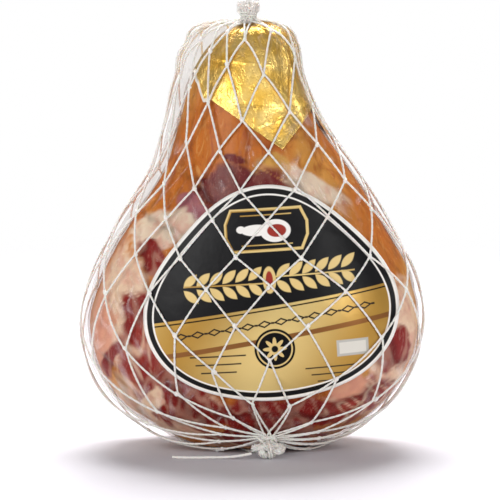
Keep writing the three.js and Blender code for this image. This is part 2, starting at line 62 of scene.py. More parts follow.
# Share of the height, share of the half width, share of the depth, lean to the right.
STATIONS = np.array(
    [
        [0.0, 0.37, 0.44, 0], [0.022, 0.52, 0.58, 0], [0.078, 0.75, 0.78, 0],
        [0.165, 0.925, 0.93, 0], [0.28, 1.0, 1.0, 0], [0.41, 0.923, 0.97, 2],
        [0.52, 0.776, 0.89, 2], [0.64, 0.58, 0.77, 3], [0.76, 0.424, 0.63, -4],
        [0.87, 0.323, 0.51, -7], [0.948, 0.235, 0.37, -1], [0.986, 0.13, 0.21, 3],
        [1.0, 0.0, 0.0, 3],
    ]
)
LEFT_SEAM = np.array(
    [
        [0.0, 3], [0.1, 6], [0.28, 4], [0.45, 5], [0.6, 7], [0.74, 8], [0.86, 9],
        [0.94, 18], [0.985, 27], [1.0, 29],
    ]
)
RIGHT_SEAM = np.array([[0.0, 1], [0.3, 1.5], [0.6, 1.5], [0.75, 1], [0.9, 1], [1.0, 2]])
SEAM_ROOM = 1.2
NECK_X = -4

HAM_LOW, HAM_HIGH = (np.array(corner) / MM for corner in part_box("ham"))
HALF_WIDTH = (HAM_HIGH[0] - HAM_LOW[0]) / 2
HAM_FOOT, HAM_TOP = HAM_LOW[2], HAM_HIGH[2]
HAM_HEIGHT = HAM_TOP - HAM_FOOT
HAM_PLACE = np.array(
    [
        (HAM_LOW[0] + HAM_HIGH[0]) / 2,
        (HAM_LOW[1] + HAM_HIGH[1]) / 2 - (DEPTH_BACK - DEPTH_FRONT) / 2,
        0.0,
    ]
)
TIE_LOW, TIE_HIGH = (np.array(corner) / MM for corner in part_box("top_tie"))

# How far each layer stands off the meat.
FOIL_LIFT = 0.85
FILM_RISE = 1.0
LABEL_RISE = 1.5
LABEL_THICK = 0.3
STRING_RISE = 2.6
FOIL_THICK = 0.25
FOIL_SIDE = 166
FOIL_MIDDLE = (10.8, -7.4)
FOIL_CORNER = math.radians(-73)
FOIL_FOLD = math.radians(-165)
FOIL_FOLD_REACH = 70
# The point where the foil's front corner ends, and the rise of its edge to either side.
FOIL_TIP = (22.7, 245.2)
FOIL_TIP_SLOPES = (0.68, 1.244)
LABEL_RADIUS = 90
LABEL_X = 14
LABEL_Z = 117
LABEL_TURN = math.radians(3.5)
LABEL_WAVES = (0.124, 0.086, -0.051, 0.032)
# Width of the square that the label's print is laid out on.
PRINT_WIDTH = 240
MESHES_ROUND = 14
MESH_ROWS = 12
ROW_DRIFT = (0, -0.25, -0.24, 0.07, -0.05, 0.07, -0.1, -0.12, -0.28, -0.27, -0.2, 0, 0)
TURN_DRIFT = 0.02
# How many rows the net sags by at its right and left sides.
ROW_DROOP = (0.9, 0.75)
# How far the cords that lean one way lie above or below the middle of the net.
STRING_CROSSING = 0.25
KNOT_HALF = 1.6
# The foot knot's cords: how many lie round its middle one, and half their width.
FOOT_KNOT_CORDS = 7
FOOT_KNOT_HALF = 1.1
TOP_GATHER_RADIUS = 7.2
FOOT_GATHER_RADIUS = 6
FOOT_GATHER = np.array([12.0, -47.0, 15.0])
# The floor is a disc, in metres, that fades out at its rim.
FLOOR_RADIUS = 1.5
WORLD_STRENGTH = 0.2
TAIL_DIAMETER = 2.4
TAIL_ROUTE = np.array(
    [
        [-1.6, -65.0, 4.6], [-3.4, -65.1, 4.3], [-6.0, -65.2, 3.8], [-9.2, -65.2, 3.2],
        [-12.8, -65.1, 2.6], [-16.6, -64.9, 2.1], [-20.6, -64.6, 1.75],
        [-24.8, -64.2, 1.5], [-29.2, -63.9, 1.35], [-33.6, -63.8, 1.3],
        [-38.2, -64.0, 1.3], [-42.8, -64.4, 1.3], [-47.4, -64.7, 1.3], [-52.0, -64.7, 1.3],
        [-56.4, -64.2, 1.3], [-60.6, -63.2, 1.3], [-64.4, -61.9, 1.3],
    ]
)


# ---- the ham's surface ----


def smooth(low, high, value):
    """0 below low, 1 above high and an even curve between."""
    share = np.clip((np.asarray(value, float) - low) / (high - low), 0, 1)
    return share * share * (3 - 2 * share)


def blend(a, b, share):
    return a + (b - a) * share


def fine_curve(points, steps=40):
    """A centripetal curve through the points, as many short straight steps."""
    ends = [2 * points[0] - points[1], *points, 2 * points[-1] - points[-2]]
    fine = []
    for a, b, c, d in zip(ends, ends[1:], ends[2:], ends[3:]):
        ab, bc, cd = (np.linalg.norm(q - p) ** 0.5 for p, q in ((a, b), (b, c), (c, d)))
        start = ((b - a) / ab - (c - a) / (ab + bc) + (c - b) / bc) * bc
        stop = ((c - b) / bc - (d - b) / (bc + cd) + (d - c) / cd) * bc
        for t in np.arange(steps) / steps:
            bend = -3 * b + 3 * c - 2 * start - stop
            twist = 2 * b - 2 * c + start + stop
            fine.append(b + start * t + bend * t * t + twist * t**3)
    return np.array([*fine, points[-1]])


heights = HAM_FOOT + STATIONS[:, 0] * HAM_HEIGHT
WIDTH_CURVE = fine_curve(list(np.stack([STATIONS[:, 1], STATIONS[:, 3], heights], axis=1)))
DEPTH_CURVE = fine_curve(list(np.stack([STATIONS[:, 2], 0 * heights, heights], axis=1)))
SHANK_TIP = np.array([WIDTH_CURVE[-1, 1], 0, HAM_TOP])


def seam_reach(seam, z):
    share = (np.asarray(z) - HAM_FOOT) / HAM_HEIGHT
    at = np.clip(np.searchsorted(seam[:, 0], share), 1, len(seam) - 1)
    low, high = seam[at - 1], seam[at]
    part = (share - low[..., 0]) / (high[..., 0] - low[..., 0])
    return blend(low[..., 1], high[..., 1], smooth(0, 1, part))


def section(z, seams=False):
    """Middle, left, right, front and back reach of the cross-section at height z."""
    half = np.interp(z, WIDTH_CURVE[:, 2], WIDTH_CURVE[:, 0]) * HALF_WIDTH
    middle = np.interp(z, WIDTH_CURVE[:, 2], WIDTH_CURVE[:, 1])
    depth = np.interp(z, DEPTH_CURVE[:, 2], DEPTH_CURVE[:, 0])
    left, right = half, half
    if seams:
        left = half + seam_reach(LEFT_SEAM, z) + SEAM_ROOM
        right = half + seam_reach(RIGHT_SEAM, z) + SEAM_ROOM
    return middle, left, right, depth * DEPTH_FRONT, depth * DEPTH_BACK


def reach(points, seams=False):
    """1 on the surface, less inside."""
    x, y, z = points[..., 0], points[..., 1], points[..., 2]
    middle, left, right, front, back = section(z, seams)
    across = np.abs(x - middle) / np.maximum(np.where(x < middle, left, right), 1e-3)
    along = np.abs(y) / np.maximum(np.where(y < 0, front, back), 1e-3)
    return (across**SHAPE_POWER + along**SHAPE_POWER) ** (1 / SHAPE_POWER)


def outward(points, seams=False):
    """The unit direction out of the surface at each point."""
    probe = 0.2
    side, deep, up = np.eye(3) * probe
    here = reach(points, seams)
    above = reach(points + up, seams) - here
    below = here - reach(points - up, seams)
    low = points[..., 2] < (HAM_FOOT + HAM_TOP) / 2
    slope = np.stack(
        [
            reach(points + side, seams) - reach(points - side, seams),
            reach(points + deep, seams) - reach(points - deep, seams),
            2 * np.where(low, above, below),
        ],
        axis=-1,
    )
    return slope / np.maximum(np.linalg.norm(slope, axis=-1, keepdims=True), 1e-9)


def ham_point(z, angle):
    middle, left, right, front, back = section(z)
    c, s = np.cos(angle), np.sin(angle)
    x = np.sign(c) * np.abs(c) ** (2 / SHAPE_POWER)
    y = np.sign(s) * np.abs(s) ** (2 / SHAPE_POWER)
    x = middle + x * np.where(c < 0, left, right)
    return np.stack([x, y * np.where(s < 0, front, back), np.broadcast_to(z, x.shape)], axis=-1)


def front_point(x, z):
    """The front of the ham at one place across and up."""
    middle, left, right, front, _ = section(z)
    side = np.minimum(np.abs(x - middle) / np.where(x < middle, left, right), 0.999)
    return np.stack([x, -front * (1 - side**SHAPE_POWER) ** (1 / SHAPE_POWER), z], axis=-1)


# ---- random fields and relief ----


def grain(points, size, seed=0):
    """A smooth random field from -1 to 1 with features of about size millimetres."""
    cell = points / np.asarray(size, float)
    low = np.floor(cell).astype(np.int64)
    part = cell - low
    part = part * part * (3 - 2 * part)
    total = np.zeros(points.shape[:-1])
    for corner in product((0, 1), repeat=3):
        at = low + np.array(corner)
        mixed = at[..., 0] * 73856093 ^ at[..., 1] * 19349663
        mixed = mixed ^ at[..., 2] * 83492791 ^ seed * 974711
        mixed = (mixed ^ (mixed >> 13)) * 1274126177 & 0xFFFFFFFF
        value = ((mixed ^ (mixed >> 16)) & 0xFFFF) / 32767.5 - 1
        total += value * np.prod(np.where(corner, part, 1 - part), axis=-1)
    return total


def layered(points, size, seed=0, octaves=3):
    size = np.asarray(size, float)
    return sum(grain(points, size / 2**k, seed + 7 * k) / 2**k for k in range(octaves)) / 1.5


def ridges(points, size, seed=0):
    """Sharp crests, 1 on a crest and 0 between."""
    return np.clip(1 - 2.2 * np.abs(grain(points, size, seed)), 0, 1)


def turned(points, degrees):
    """The points turned in the front's plane."""
    c, s = math.cos(math.radians(degrees)), math.sin(math.radians(degrees))
    x, z = points[..., 0], points[..., 2]
    return np.stack([c * x + s * z, points[..., 1], c * z - s * x], axis=-1)


def label_radius(angle):
    tall, wide, corners, shoulders = LABEL_WAVES
    waves = tall * np.sin(angle) + wide * np.cos(2 * angle)
    waves = waves + corners * np.sin(3 * angle) + shoulders * np.cos(4 * angle)
    return LABEL_RADIUS * (1 + waves)


def under_label(points):
    """1 under the label and 0 away from it."""
    x, z = points[..., 0] - LABEL_X, points[..., 2] - LABEL_Z
    share = np.hypot(x, z) / label_radius(np.arctan2(z, x) - LABEL_TURN)
    return smooth(1.06, 0.97, share) * smooth(5, -5, points[..., 1])


def foil_reach(angle):
    """How far the square of foil reaches from the shank's tip in each direction."""
    best = np.full(np.shape(angle), 1e6)
    for eighth in (1, 3, 5, 7):
        side = FOIL_CORNER + eighth * math.pi / 4
        along = np.cos(angle - side)
        offset = FOIL_MIDDLE[0] * math.cos(side) + FOIL_MIDDLE[1] * math.sin(side)
        edge = (FOIL_SIDE / 2 + offset) / np.maximum(along, 1e-6)
        best = np.where(along > 1e-6, np.minimum(best, edge), best)
    along = np.cos(angle - FOIL_FOLD)
    return np.where(along > 0.1, np.minimum(best, FOIL_FOLD_REACH / np.maximum(along, 0.1)), best)


def line_distance(points, a, b):
    """Distance in the front's plane from the line between two places (x, z)."""
    a, b = np.array(a, float), np.array(b, float)
    place = points[..., [0, 2]] - a
    share = np.clip(place @ (b - a) / ((b - a) @ (b - a)), 0, 1)
    return np.linalg.norm(place - share[..., None] * (b - a), axis=-1)


# Grooves between muscles and folds of the rind, each from (x, z) to (x, z), with depth and width.
GROOVES = [
    ((-3, 256), (-6, 234), 2.2, 2.5),
    ((-55, 226), (-22, 196), 1.4, 3.5),
    ((-50, 176), (-92, 190), 1.2, 3.0),
    ((-88, 166), (-84, 96), 1.6, 4.0),
    ((-118, 78), (-84, 22), 1.8, 4.0),
    ((-70, 62), (-38, 24), 1.5, 4.0),
    ((30, 218), (62, 196), 1.2, 3.0),
    ((84, 170), (112, 128), 1.2, 2.5),
    ((100, 100), (121, 66), 1.4, 3.5),
    ((66, 40), (108, 58), 1.4, 3.5),
    ((-30, 34), (62, 30), 1.0, 3.0),
]


def relief(points):
    """How far the meat's own lumps and seams move its surface out, never far."""
    front = smooth(10, -15, points[..., 1])
    lumps = 1.5 * layered(points, 52, 3) + 0.45 * layered(points, 15, 5)
    for a, b, depth, width in GROOVES:
        drift = np.stack([grain(points, 16, 8), 0 * front, grain(points, 16, 9)], axis=-1)
        wander = points + 5 * drift
        lumps = lumps - front * depth * np.exp(-((line_distance(wander, a, b) / width) ** 2))
    back = 1 - front
    folds = ridges(points, (70, 70, 9), 21) * smooth(-0.2, 0.6, grain(points, 60, 23))
    lumps = lumps + back * 0.35 * folds
    lumps = np.minimum(lumps, 0.5) - 0.6
    return lumps * (1 - 0.8 * under_label(points))


def settled(points):
    """The points with the foot pressed down on to the cords below it."""
    low = smooth(HAM_FOOT + 9, HAM_FOOT, points[..., 2])
    return points - np.array([0, 0, 1.4]) * low[..., None]


# ---- meshes ----


def in_frame(points):
    return (np.asarray(points, float) + HAM_PLACE) * MM


def shell(name, rings, first, last):
    """A closed mesh from rings of points one above the other, with one point at each end."""
    rings = np.asarray(rings)
    count, across = rings.shape[:2]
    points = np.concatenate([[first], rings.reshape(-1, 3), [last]])
    at = 1 + np.arange(count * across).reshape(count, across)
    after = np.roll(at, -1, axis=1)
    quads = np.stack([at[:-1], after[:-1], after[1:], at[1:]], axis=-1).reshape(-1, 4)
    end = len(points) - 1
    foot = np.stack([np.zeros(across, int), after[0], at[0]], axis=-1)
    top = np.stack([np.full(across, end), at[-1], after[-1]], axis=-1)
    mesh = bpy.data.meshes.new(name)
    mesh.from_pydata(in_frame(points).tolist(), [], foot.tolist() + quads.tolist() + top.tolist())
    mesh.shade_smooth()
    mesh.update()
    return mesh, points


def add(name, mesh, material=None):
    piece = bpy.data.objects.new(name, mesh)
    bpy.context.scene.collection.objects.link(piece)
    if material:
        mesh.materials.clear()
        mesh.materials.append(material)
    return piece


def note(mesh, name, values):
    """Writes one number, or one colour, for each vertex."""
    values = np.asarray(values, np.float32)
    kind, key = ("FLOAT_COLOR", "color") if values.ndim == 2 else ("FLOAT", "value")
    mesh.attributes.new(name, kind, "POINT").data.foreach_set(key, values.ravel())


def finished(piece, slot, *nodes):
    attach(piece, "root")
    if nodes:
        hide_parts(*nodes)
    return piece


def profile_levels(count):
    """Heights that space rings evenly over the ham's outline."""
    x = WIDTH_CURVE[:, 0] * HALF_WIDTH
    z = WIDTH_CURVE[:, 2]
    length = np.concatenate([[0], np.cumsum(np.hypot(np.diff(x), np.diff(z)))])
    return np.interp(np.linspace(0, length[-1], count + 1)[:-1], length, z)


def skin(name, columns, rows, rise):
    """The ham's skin moved out by rise, a function of the points; closed, with a flat foot."""
    angle = 2 * math.pi * np.arange(columns) / columns
    levels = profile_levels(rows)
    rings = ham_point(levels[:, None], angle[None, :])
    way = outward(rings)
    way[0] = way[0] * (1, 1, 0)
    way[0] /= np.linalg.norm(way[0], axis=-1, keepdims=True)
    rings = rings + way * rise(rings)[..., None]
    under = rings[0] * (1, 1, 0) + np.array([0, 0, rings[0, :, 2].mean() - 0.6])
    under_rings = [under * (s, s, 1) for s in np.linspace(0.12, 0.92, 14)]
    rings = np.concatenate([under_rings, rings])
    rings = settled(rings)
    apex = SHANK_TIP + (0, 0, rise(SHANK_TIP[None, :])[0])
    return shell(name, rings, rings[0].mean(axis=0), apex)


# ---- shader and geometry nodes ----


class Wire:
    """A node socket that can be used in sums. make() adds any other node."""

    def __init__(self, tree, socket=None):
        self.tree, self.socket = tree, socket

    def make(self, kind, values=(), out=0, **settings):
        node = self.tree.nodes.new(kind)
        for name, setting in settings.items():
            setattr(node, name, setting)
        pairs = values.items() if isinstance(values, dict) else enumerate(values)
        for key, value in pairs:
            if isinstance(value, Wire):
                self.tree.links.new(value.socket, node.inputs[key])
            elif value is not None:
                node.inputs[key].default_value = value
        return Wire(self.tree, node.outputs[out]) if len(node.outputs) else node

    def maths(self, operation, *values):
        return self.make("ShaderNodeMath", values, operation=operation)

    def __add__(self, other):
        return self.maths("ADD", self, other)

    __radd__ = __add__

    def __mul__(self, other):
        return self.maths("MULTIPLY", self, other)

    __rmul__ = __mul__

    def __sub__(self, other):
        return self.maths("SUBTRACT", self, other)

    def __rsub__(self, other):
        return self.maths("SUBTRACT", other, self)

    def __truediv__(self, other):
        return self.maths("DIVIDE", self, other)

    def __pow__(self, other):
        return self.maths("POWER", self, other)

    def least(self, other):
        return self.maths("MINIMUM", self, other)

    def most(self, other):
        return self.maths("MAXIMUM", self, other)

    def size(self):
        return self.maths("ABSOLUTE", self)

    def step(self, low, high):
        """0 below low and 1 above high."""
        values = {"Value": self, "From Min": low, "From Max": high}
        return self.make("ShaderNodeMapRange", values, interpolation_type="SMOOTHSTEP")

    def mix(self, a, b):
        """The colours a and b, by this as the share of b."""
        values = {0: self, 6: a, 7: b}
        return self.make("ShaderNodeMix", values, out=2, data_type="RGBA", clamp_factor=True)

    def times(self, *scale):
        """This vector times a scale."""
        return self.make("ShaderNodeVectorMath", {0: self, 1: scale}, operation="MULTIPLY")

    def noise(self, scale, detail=2.0, rough=0.5, distortion=0.0):
        values = {"Vector": self, "Scale": scale, "Detail": detail}
        values.update({"Roughness": rough, "Distortion": distortion})
        return self.make("ShaderNodeTexNoise", values, out="Fac")

    def cells(self, scale):
        return self.make("ShaderNodeTexVoronoi", {"Vector": self, "Scale": scale}, out="Distance")

    def parts(self):
        node = self.make("ShaderNodeSeparateXYZ", [self]).socket.node
        return [Wire(self.tree, output) for output in node.outputs]


def linear(code):
    """A colour such as a0b0c0 as the linear values that a shader takes."""
    values = [int(code[i : i + 2], 16) / 255 for i in (0, 2, 4)]
    curved = (v / 12.92 if v <= 0.04045 else ((v + 0.055) / 1.055) ** 2.4 for v in values)
    return (*curved, 1.0)


def material(name):
    made = bpy.data.materials.new(name)
    made.use_nodes = True
    made.node_tree.nodes.clear()
    wire = Wire(made.node_tree)
    place = wire.make("ShaderNodeTexCoord", out="Object")
    return made, wire, place


def attribute(wire, name, out="Fac"):
    return wire.make("ShaderNodeAttribute", out=out, attribute_name=name)


def surface(wire, shader):
    wire.make("ShaderNodeOutputMaterial", {"Surface": shader})


def bump(wire, height, strength, distance):
    values = {"Height": height, "Strength": strength, "Distance": distance}
    return wire.make("ShaderNodeBump", values)


def meat_material():
    made, wire, place = material("cured_meat")
    tone = attribute(wire, "tone", "Color")
    lean, fat, rind = (attribute(wire, name) for name in ("lean", "fat", "rind"))
    stretched = place.times(1.0, 1.0, 0.35)
    streak = stretched.noise(330, 4, 0.6, 1.2).step(0.56, 0.66)
    specks = place.noise(1300, 2).step(0.58, 0.72)
    pores = place.cells(620).step(0.22, 0.05)
    clouds = place.noise(90, 3)
    colour = (lean * streak * 0.34).mix(tone, linear("d08a76"))
    colour = (fat * clouds.step(0.42, 0.7) * 0.55).mix(colour, linear("dd9480"))
    colour = (rind * clouds.step(0.5, 0.72) * 0.4).mix(colour, linear("8f4716"))
    drawn = place.times(1.0, 1.0, 0.22).noise(120, 4, 0.62, 1.4)
    colour = (rind * drawn.step(0.52, 0.68) * 0.5).mix(colour, linear("a63f14"))
    colour = (rind * drawn.step(0.44, 0.3) * 0.5).mix(colour, linear("efb568"))
    colour = (rind * pores * 0.25).mix(colour, linear("5d2f14"))
    colour = (lean * specks * 0.35).mix(colour, linear("3d0d0c"))
    rough = 0.42 - lean * 0.08 - fat * 0.14 + clouds * 0.12
    height = place.noise(420, 5, 0.62) + streak * lean * 0.5 - pores * rind * 0.6
    shader = wire.make(
        "ShaderNodeBsdfPrincipled",
        {
            "Base Color": colour,
            "Roughness": rough,
            "Subsurface Weight": 0.06,
            "Subsurface Radius": (1.0, 0.35, 0.2),
            "Subsurface Scale": 0.003,
            "Specular IOR Level": 0.25,
            "Coat Weight": 0.12,
            "Coat Roughness": 0.15,
            "Normal": bump(wire, height, 0.5, 0.0006),
        },
    )
    surface(wire, shader)
    return made


def foil_material():
    made, wire, place = material("gold_foil")
    paper = attribute(wire, "paper")
    cloud = place.noise(60, 3)
    fine = place.noise(700, 3)
    gold = cloud.step(0.3, 0.7).mix(linear("ffdb80"), linear("fac64e"))
    long = (place.times(1, 1, 0.4).noise(150, 2, 0.5, 1.0) - 0.5).size().step(0.0, 0.035)
    short = (place.times(0.6, 1, 1).noise(320, 2, 0.5, 0.6) - 0.5).size().step(0.0, 0.05)
    colour = paper.mix(gold, linear("f1ece4"))
    height = long * 0.6 + short * 0.2 + fine * 0.08 + place.noise(70, 2) * 1.2
    shader = wire.make(
        "ShaderNodeBsdfPrincipled",
        {
            "Base Color": colour,
            "Metallic": (1.0 - paper) * 0.7,
            "Roughness": 0.2 + cloud * 0.1 + paper * 0.5,
            "Normal": bump(wire, height, 0.3, 0.0009),
        },
    )
    surface(wire, shader)
    return made


def film_material(name, haze, body):
    """Clear film: mostly see-through, glossy, whiter along its creases, partly the film's own
    whitening and partly painted highlight.
    """
    made, wire, place = material(name)
    crease = attribute(wire, "crease")
    height = place.times(1, 1, 0.4).noise(190, 3, 0.55, 1.5) + place.noise(900, 2) * 0.12
    gloss = wire.make(
        "ShaderNodeBsdfPrincipled",
        {
            # Painted highlight: the base colour turns near white along the creases.
            "Base Color": crease.step(0.15, 0.75).mix(linear(body), linear("f6f3f1")),
            "Roughness": 0.1,
            "IOR": 1.5,
            "Specular IOR Level": 1.0,
            "Normal": bump(wire, height, 0.75, 0.0016),
        },
    )
    shine = wire.make("ShaderNodeFresnel", {"IOR": 1.45})
    share = (shine * 0.3 + crease * 0.22 + haze).least(0.42)
    clear = wire.make("ShaderNodeBsdfTransparent", {"Color": (0.985, 0.975, 0.965, 1)})
    surface(wire, wire.make("ShaderNodeMixShader", [share, clear, gloss]))
    return made


def inside(distance, soft=0.35):
    """1 where a signed distance is below zero, with an edge soft millimetres wide."""
    return distance.step(soft, -soft)


def label_material():
    made, wire, place = material("label_print")
    flat = wire.make("ShaderNodeUVMap", uv_map="print")
    u, v, _ = flat.parts()
    x, y = (u - 0.5) * PRINT_WIDTH, (v - 0.5) * PRINT_WIDTH
    angle = y.maths("ARCTAN2", y, x)
    tall, wide, corners, shoulders = LABEL_WAVES
    waves = angle.maths("SINE", angle) * tall + (angle * 2).maths("COSINE", angle * 2) * wide
    waves = waves + (angle * 3).maths("SINE", angle * 3) * corners
    waves = waves + (angle * 4).maths("COSINE", angle * 4) * shoulders
    radius = (x * x + y * y) ** 0.5
    rim = (waves + 1) * LABEL_RADIUS - radius

    def band(low, high):
        return inside((rim - (low + high) / 2).size() - (high - low) / 2)

    def box(cx, cy, w, h):
        return ((x - cx).size() - w / 2).most((y - cy).size() - h / 2)

    def oval(cx, cy, rx, ry):
        dx, dy = (x - cx) * (1 / rx), (y - cy) * (1 / ry)
        return ((dx * dx + dy * dy) ** 0.5 - 1) * min(rx, ry)

    def leaf(cx, cy, length, width, turn):
        c, s = math.cos(turn), math.sin(turn)
        along = ((x - cx) * c + (y - cy) * s) * (2 / length)
        across = ((y - cy) * c - (x - cx) * s).size() * (2 / width)
        return (across + along * along - 1) * (width / 3)

    white, black, dark = linear("f3efe8"), linear("0b0a0c"), linear("2a2320")
    sheen = ((x - y * 0.5) * 0.042).maths("SINE", (x - y * 0.5) * 0.042 + 1.1)
    gold = (sheen * 0.5 + 0.5).mix(linear("b48a3e"), linear("e8cb84"))
    pale_gold = linear("e3c684")
    slope = math.tan(math.radians(6))
    lower = inside(y - 6.5 - x * slope)
    colour = lower.mix(black, gold)
    colour = inside((y - 3.8 - x * slope).size() - 0.55).mix(colour, black)
    colour = inside((y + 19.7 - x * 0.12).size() - 2.0).mix(colour, linear("8a5a2e"))
    for k in range(-5, 7):
        middle = k * 13.2 - 6
        lozenge = (x - middle).size() * 0.5 + (y + 6.8 - x * slope).size() - 3.0
        colour = inside(lozenge * 0.9).mix(colour, dark)
        colour = inside(lozenge + 1.3).mix(colour, gold)
        bar = middle + 6.6
        colour = inside(box(bar, -6.8 + bar * slope, 2.6, 1.5)).mix(colour, dark)
    # Plaque with a plain ham on it.
    plaque = box(0, 66, 66, 34).most(((x.size() + (y - 66).size() * 0.45) - 35.5) * 0.9)
    for depth, ink in ((0, pale_gold), (1.3, gold), (2.2, black)):
        colour = inside(plaque + depth).mix(colour, ink)
    pear = oval(7, 65, 12, 8.8).least(oval(-8, 66, 12, 4.4)).least(oval(-20, 67, 3.5, 2.8))
    colour = inside(pear).mix(colour, white)
    colour = inside(oval(8, 65, 7.5, 5.0)).mix(colour, linear("9c3328"))
    for k in (-1, 1):
        colour = inside(box(0, 66 + k * 11.6, 40, 0.9)).mix(colour, gold)
    # A spray of leaves across the black field.
    for side in (-1, 1):
        for k in range(6):
            at = side * (9 + k * 10.2)
            rise = 27 + abs(at) * 0.07 * side
            for flip in (-1, 1):
                turn = side * flip * 0.75 if side > 0 else math.pi - flip * -0.75
                blade = leaf(at + side * 2, rise + flip * 6.2, 15, 6.4, turn)
                colour = inside(blade).mix(colour, pale_gold)
        colour = inside(box(side * 36, 27 + side * 2.4, 62, 1.1)).mix(colour, gold)
    colour = inside(oval(0, 27, 5.2, 10.5)).mix(colour, pale_gold)
    colour = inside(oval(0, 27, 2.8, 7.0)).mix(colour, linear("9c3328"))
    # A round seal with a rosette, a small panel and plain rules on the gold field.
    seal = ((x - 1) * (x - 1) + (y + 27.5) * (y + 27.5)) ** 0.5
    petals = (y + 27.5).maths("ARCTAN2", y + 27.5, x - 1) * 8
    colour = inside(seal - 16).mix(colour, black)
    colour = inside((seal - 13.6).size() - 0.6).mix(colour, pale_gold)
    colour = inside(seal - 7 - petals.maths("COSINE", petals) * 2.4).mix(colour, pale_gold)
    colour = inside(seal - 2.6).mix(colour, black)
    colour = inside(box(62, -31, 25, 13)).mix(colour, linear("b9b6ad"))
    colour = inside(box(62, -31, 21, 9)).mix(colour, linear("d8d4c8"))
    for k in range(3):
        colour = inside(box(-44, -31 - k * 6.5, 44 - k * 8, 1.1)).mix(colour, dark)
        colour = inside(box(44, -45 - k * 5.5, 40 - k * 9, 1.0)).mix(colour, dark)
    # Edge: thin white line, black ring and white border.
    colour = band(6.8, 8.2).mix(colour, white)
    colour = band(2.8, 6.8).mix(colour, black)
    colour = inside(rim - 2.8).mix(colour, white)
    metal = lower * inside(8.2 - rim)
    shader = wire.make(
        "ShaderNodeBsdfPrincipled",
        {
            "Base Color": colour,
            "Metallic": metal * 0.45,
            "Roughness": 0.34 + place.noise(300, 2) * 0.1 - metal * 0.06,
            "Specular IOR Level": 0.2,
            "Normal": bump(wire, place.noise(140, 2) + place.noise(1500, 2) * 0.05, 0.25, 0.0008),
        },
    )
    surface(wire, shader)
    return made


def string_material():
    made, wire, place = material("cotton_string")
    fibre = place.noise(2600, 3, 0.6)
    stain = place.noise(34, 3).step(0.52, 0.75)
    colour = (fibre * 0.5).mix(linear("f7f4ee"), linear("d9d3c8"))
    colour = (stain * 0.3).mix(colour, linear("e6c9b4"))
    shader = wire.make(
        "ShaderNodeBsdfPrincipled",
        {
            "Base Color": colour,
            "Roughness": 0.85,
            "Sheen Weight": 0.25,
            "Subsurface Weight": 0.1,
            "Subsurface Scale": 0.001,
            "Normal": bump(wire, fibre, 0.6, 0.0003),
        },
    )
    surface(wire, shader)
    return made


def floor_material():
    """Pale floor that thins out to nothing towards its rim, so that it has no visible edge."""
    made, wire, place = material("pale_floor")
    tone = place.noise(3, 2).mix(linear("d1ced4"), linear("cdcad0"))
    x, y, _ = place.parts()
    solid = ((x * x + y * y) ** 0.5).step(FLOOR_RADIUS * 0.96, FLOOR_RADIUS * 0.5)
    pale = wire.make("ShaderNodeBsdfPrincipled", {"Base Color": tone, "Roughness": 0.6})
    clear = wire.make("ShaderNodeBsdfTransparent", {})
    surface(wire, wire.make("ShaderNodeMixShader", [solid, clear, pale]))
    return made


def geometry_tree(name, inputs):
    """A geometry node group with the named inputs, and a wire for each."""
    tree = bpy.data.node_groups.new(name, "GeometryNodeTree")
    tree.interface.new_socket("Geometry", in_out="INPUT", socket_type="NodeSocketGeometry")
    for label, kind in inputs.items():
        tree.interface.new_socket(label, in_out="INPUT", socket_type=kind)
    tree.interface.new_socket("Geometry", in_out="OUTPUT", socket_type="NodeSocketGeometry")
    entry = tree.nodes.new("NodeGroupInput")
    given = {socket.name: Wire(tree, socket) for socket in entry.outputs if socket.name}
    return tree, Wire(tree), given


def tree_output(wire, geometry, finish):
    real = wire.make("GeometryNodeRealizeInstances", {"Geometry": geometry})
    done = wire.make("GeometryNodeSetMaterial", {"Geometry": real, "Material": finish})
    wire.make("NodeGroupOutput", [done])


def cord_tree():
    """Turns every chain of edges into a cord of two strands twisted together."""
    sizes = dict.fromkeys(("Radius", "Step", "Lay", "Groove"), "NodeSocketFloat")
    tree, wire, given = geometry_tree("twisted_cord", {**sizes, "Finish": "NodeSocketMaterial"})
    curve = wire.make("GeometryNodeMeshToCurve", {"Mesh": given["Geometry"]})
    values = {"Curve": curve, "Length": given["Step"]}
    curve = wire.make("GeometryNodeResampleCurve", values, mode="LENGTH")
    length = wire.make("GeometryNodeSplineParameter", out="Length")
    values = {"Curve": curve, "Tilt": length / given["Lay"] * (2 * math.pi)}
    curve = wire.make("GeometryNodeSetCurveTilt", values)
    values = {"Resolution": 8, "Radius": given["Radius"]}
    ring = wire.make("GeometryNodeCurvePrimitiveCircle", values)
    index = wire.make("GeometryNodeInputIndex")
    valley = wire.maths("COMPARE", wire.maths("MODULO", index, 4), 2, 0.5)
    place = wire.make("GeometryNodeInputPosition")
    values = {0: place, "Scale": 1 - valley * given["Groove"]}
    drawn = wire.make("ShaderNodeVectorMath", values, operation="SCALE")
    ring = wire.make("GeometryNodeSetPosition", {"Geometry": ring, "Position": drawn})
    values = {"Curve": curve, "Profile Curve": ring, "Fill Caps": True}
    mesh = wire.make("GeometryNodeCurveToMesh", values)
    tree_output(wire, mesh, given["Finish"])
    return tree


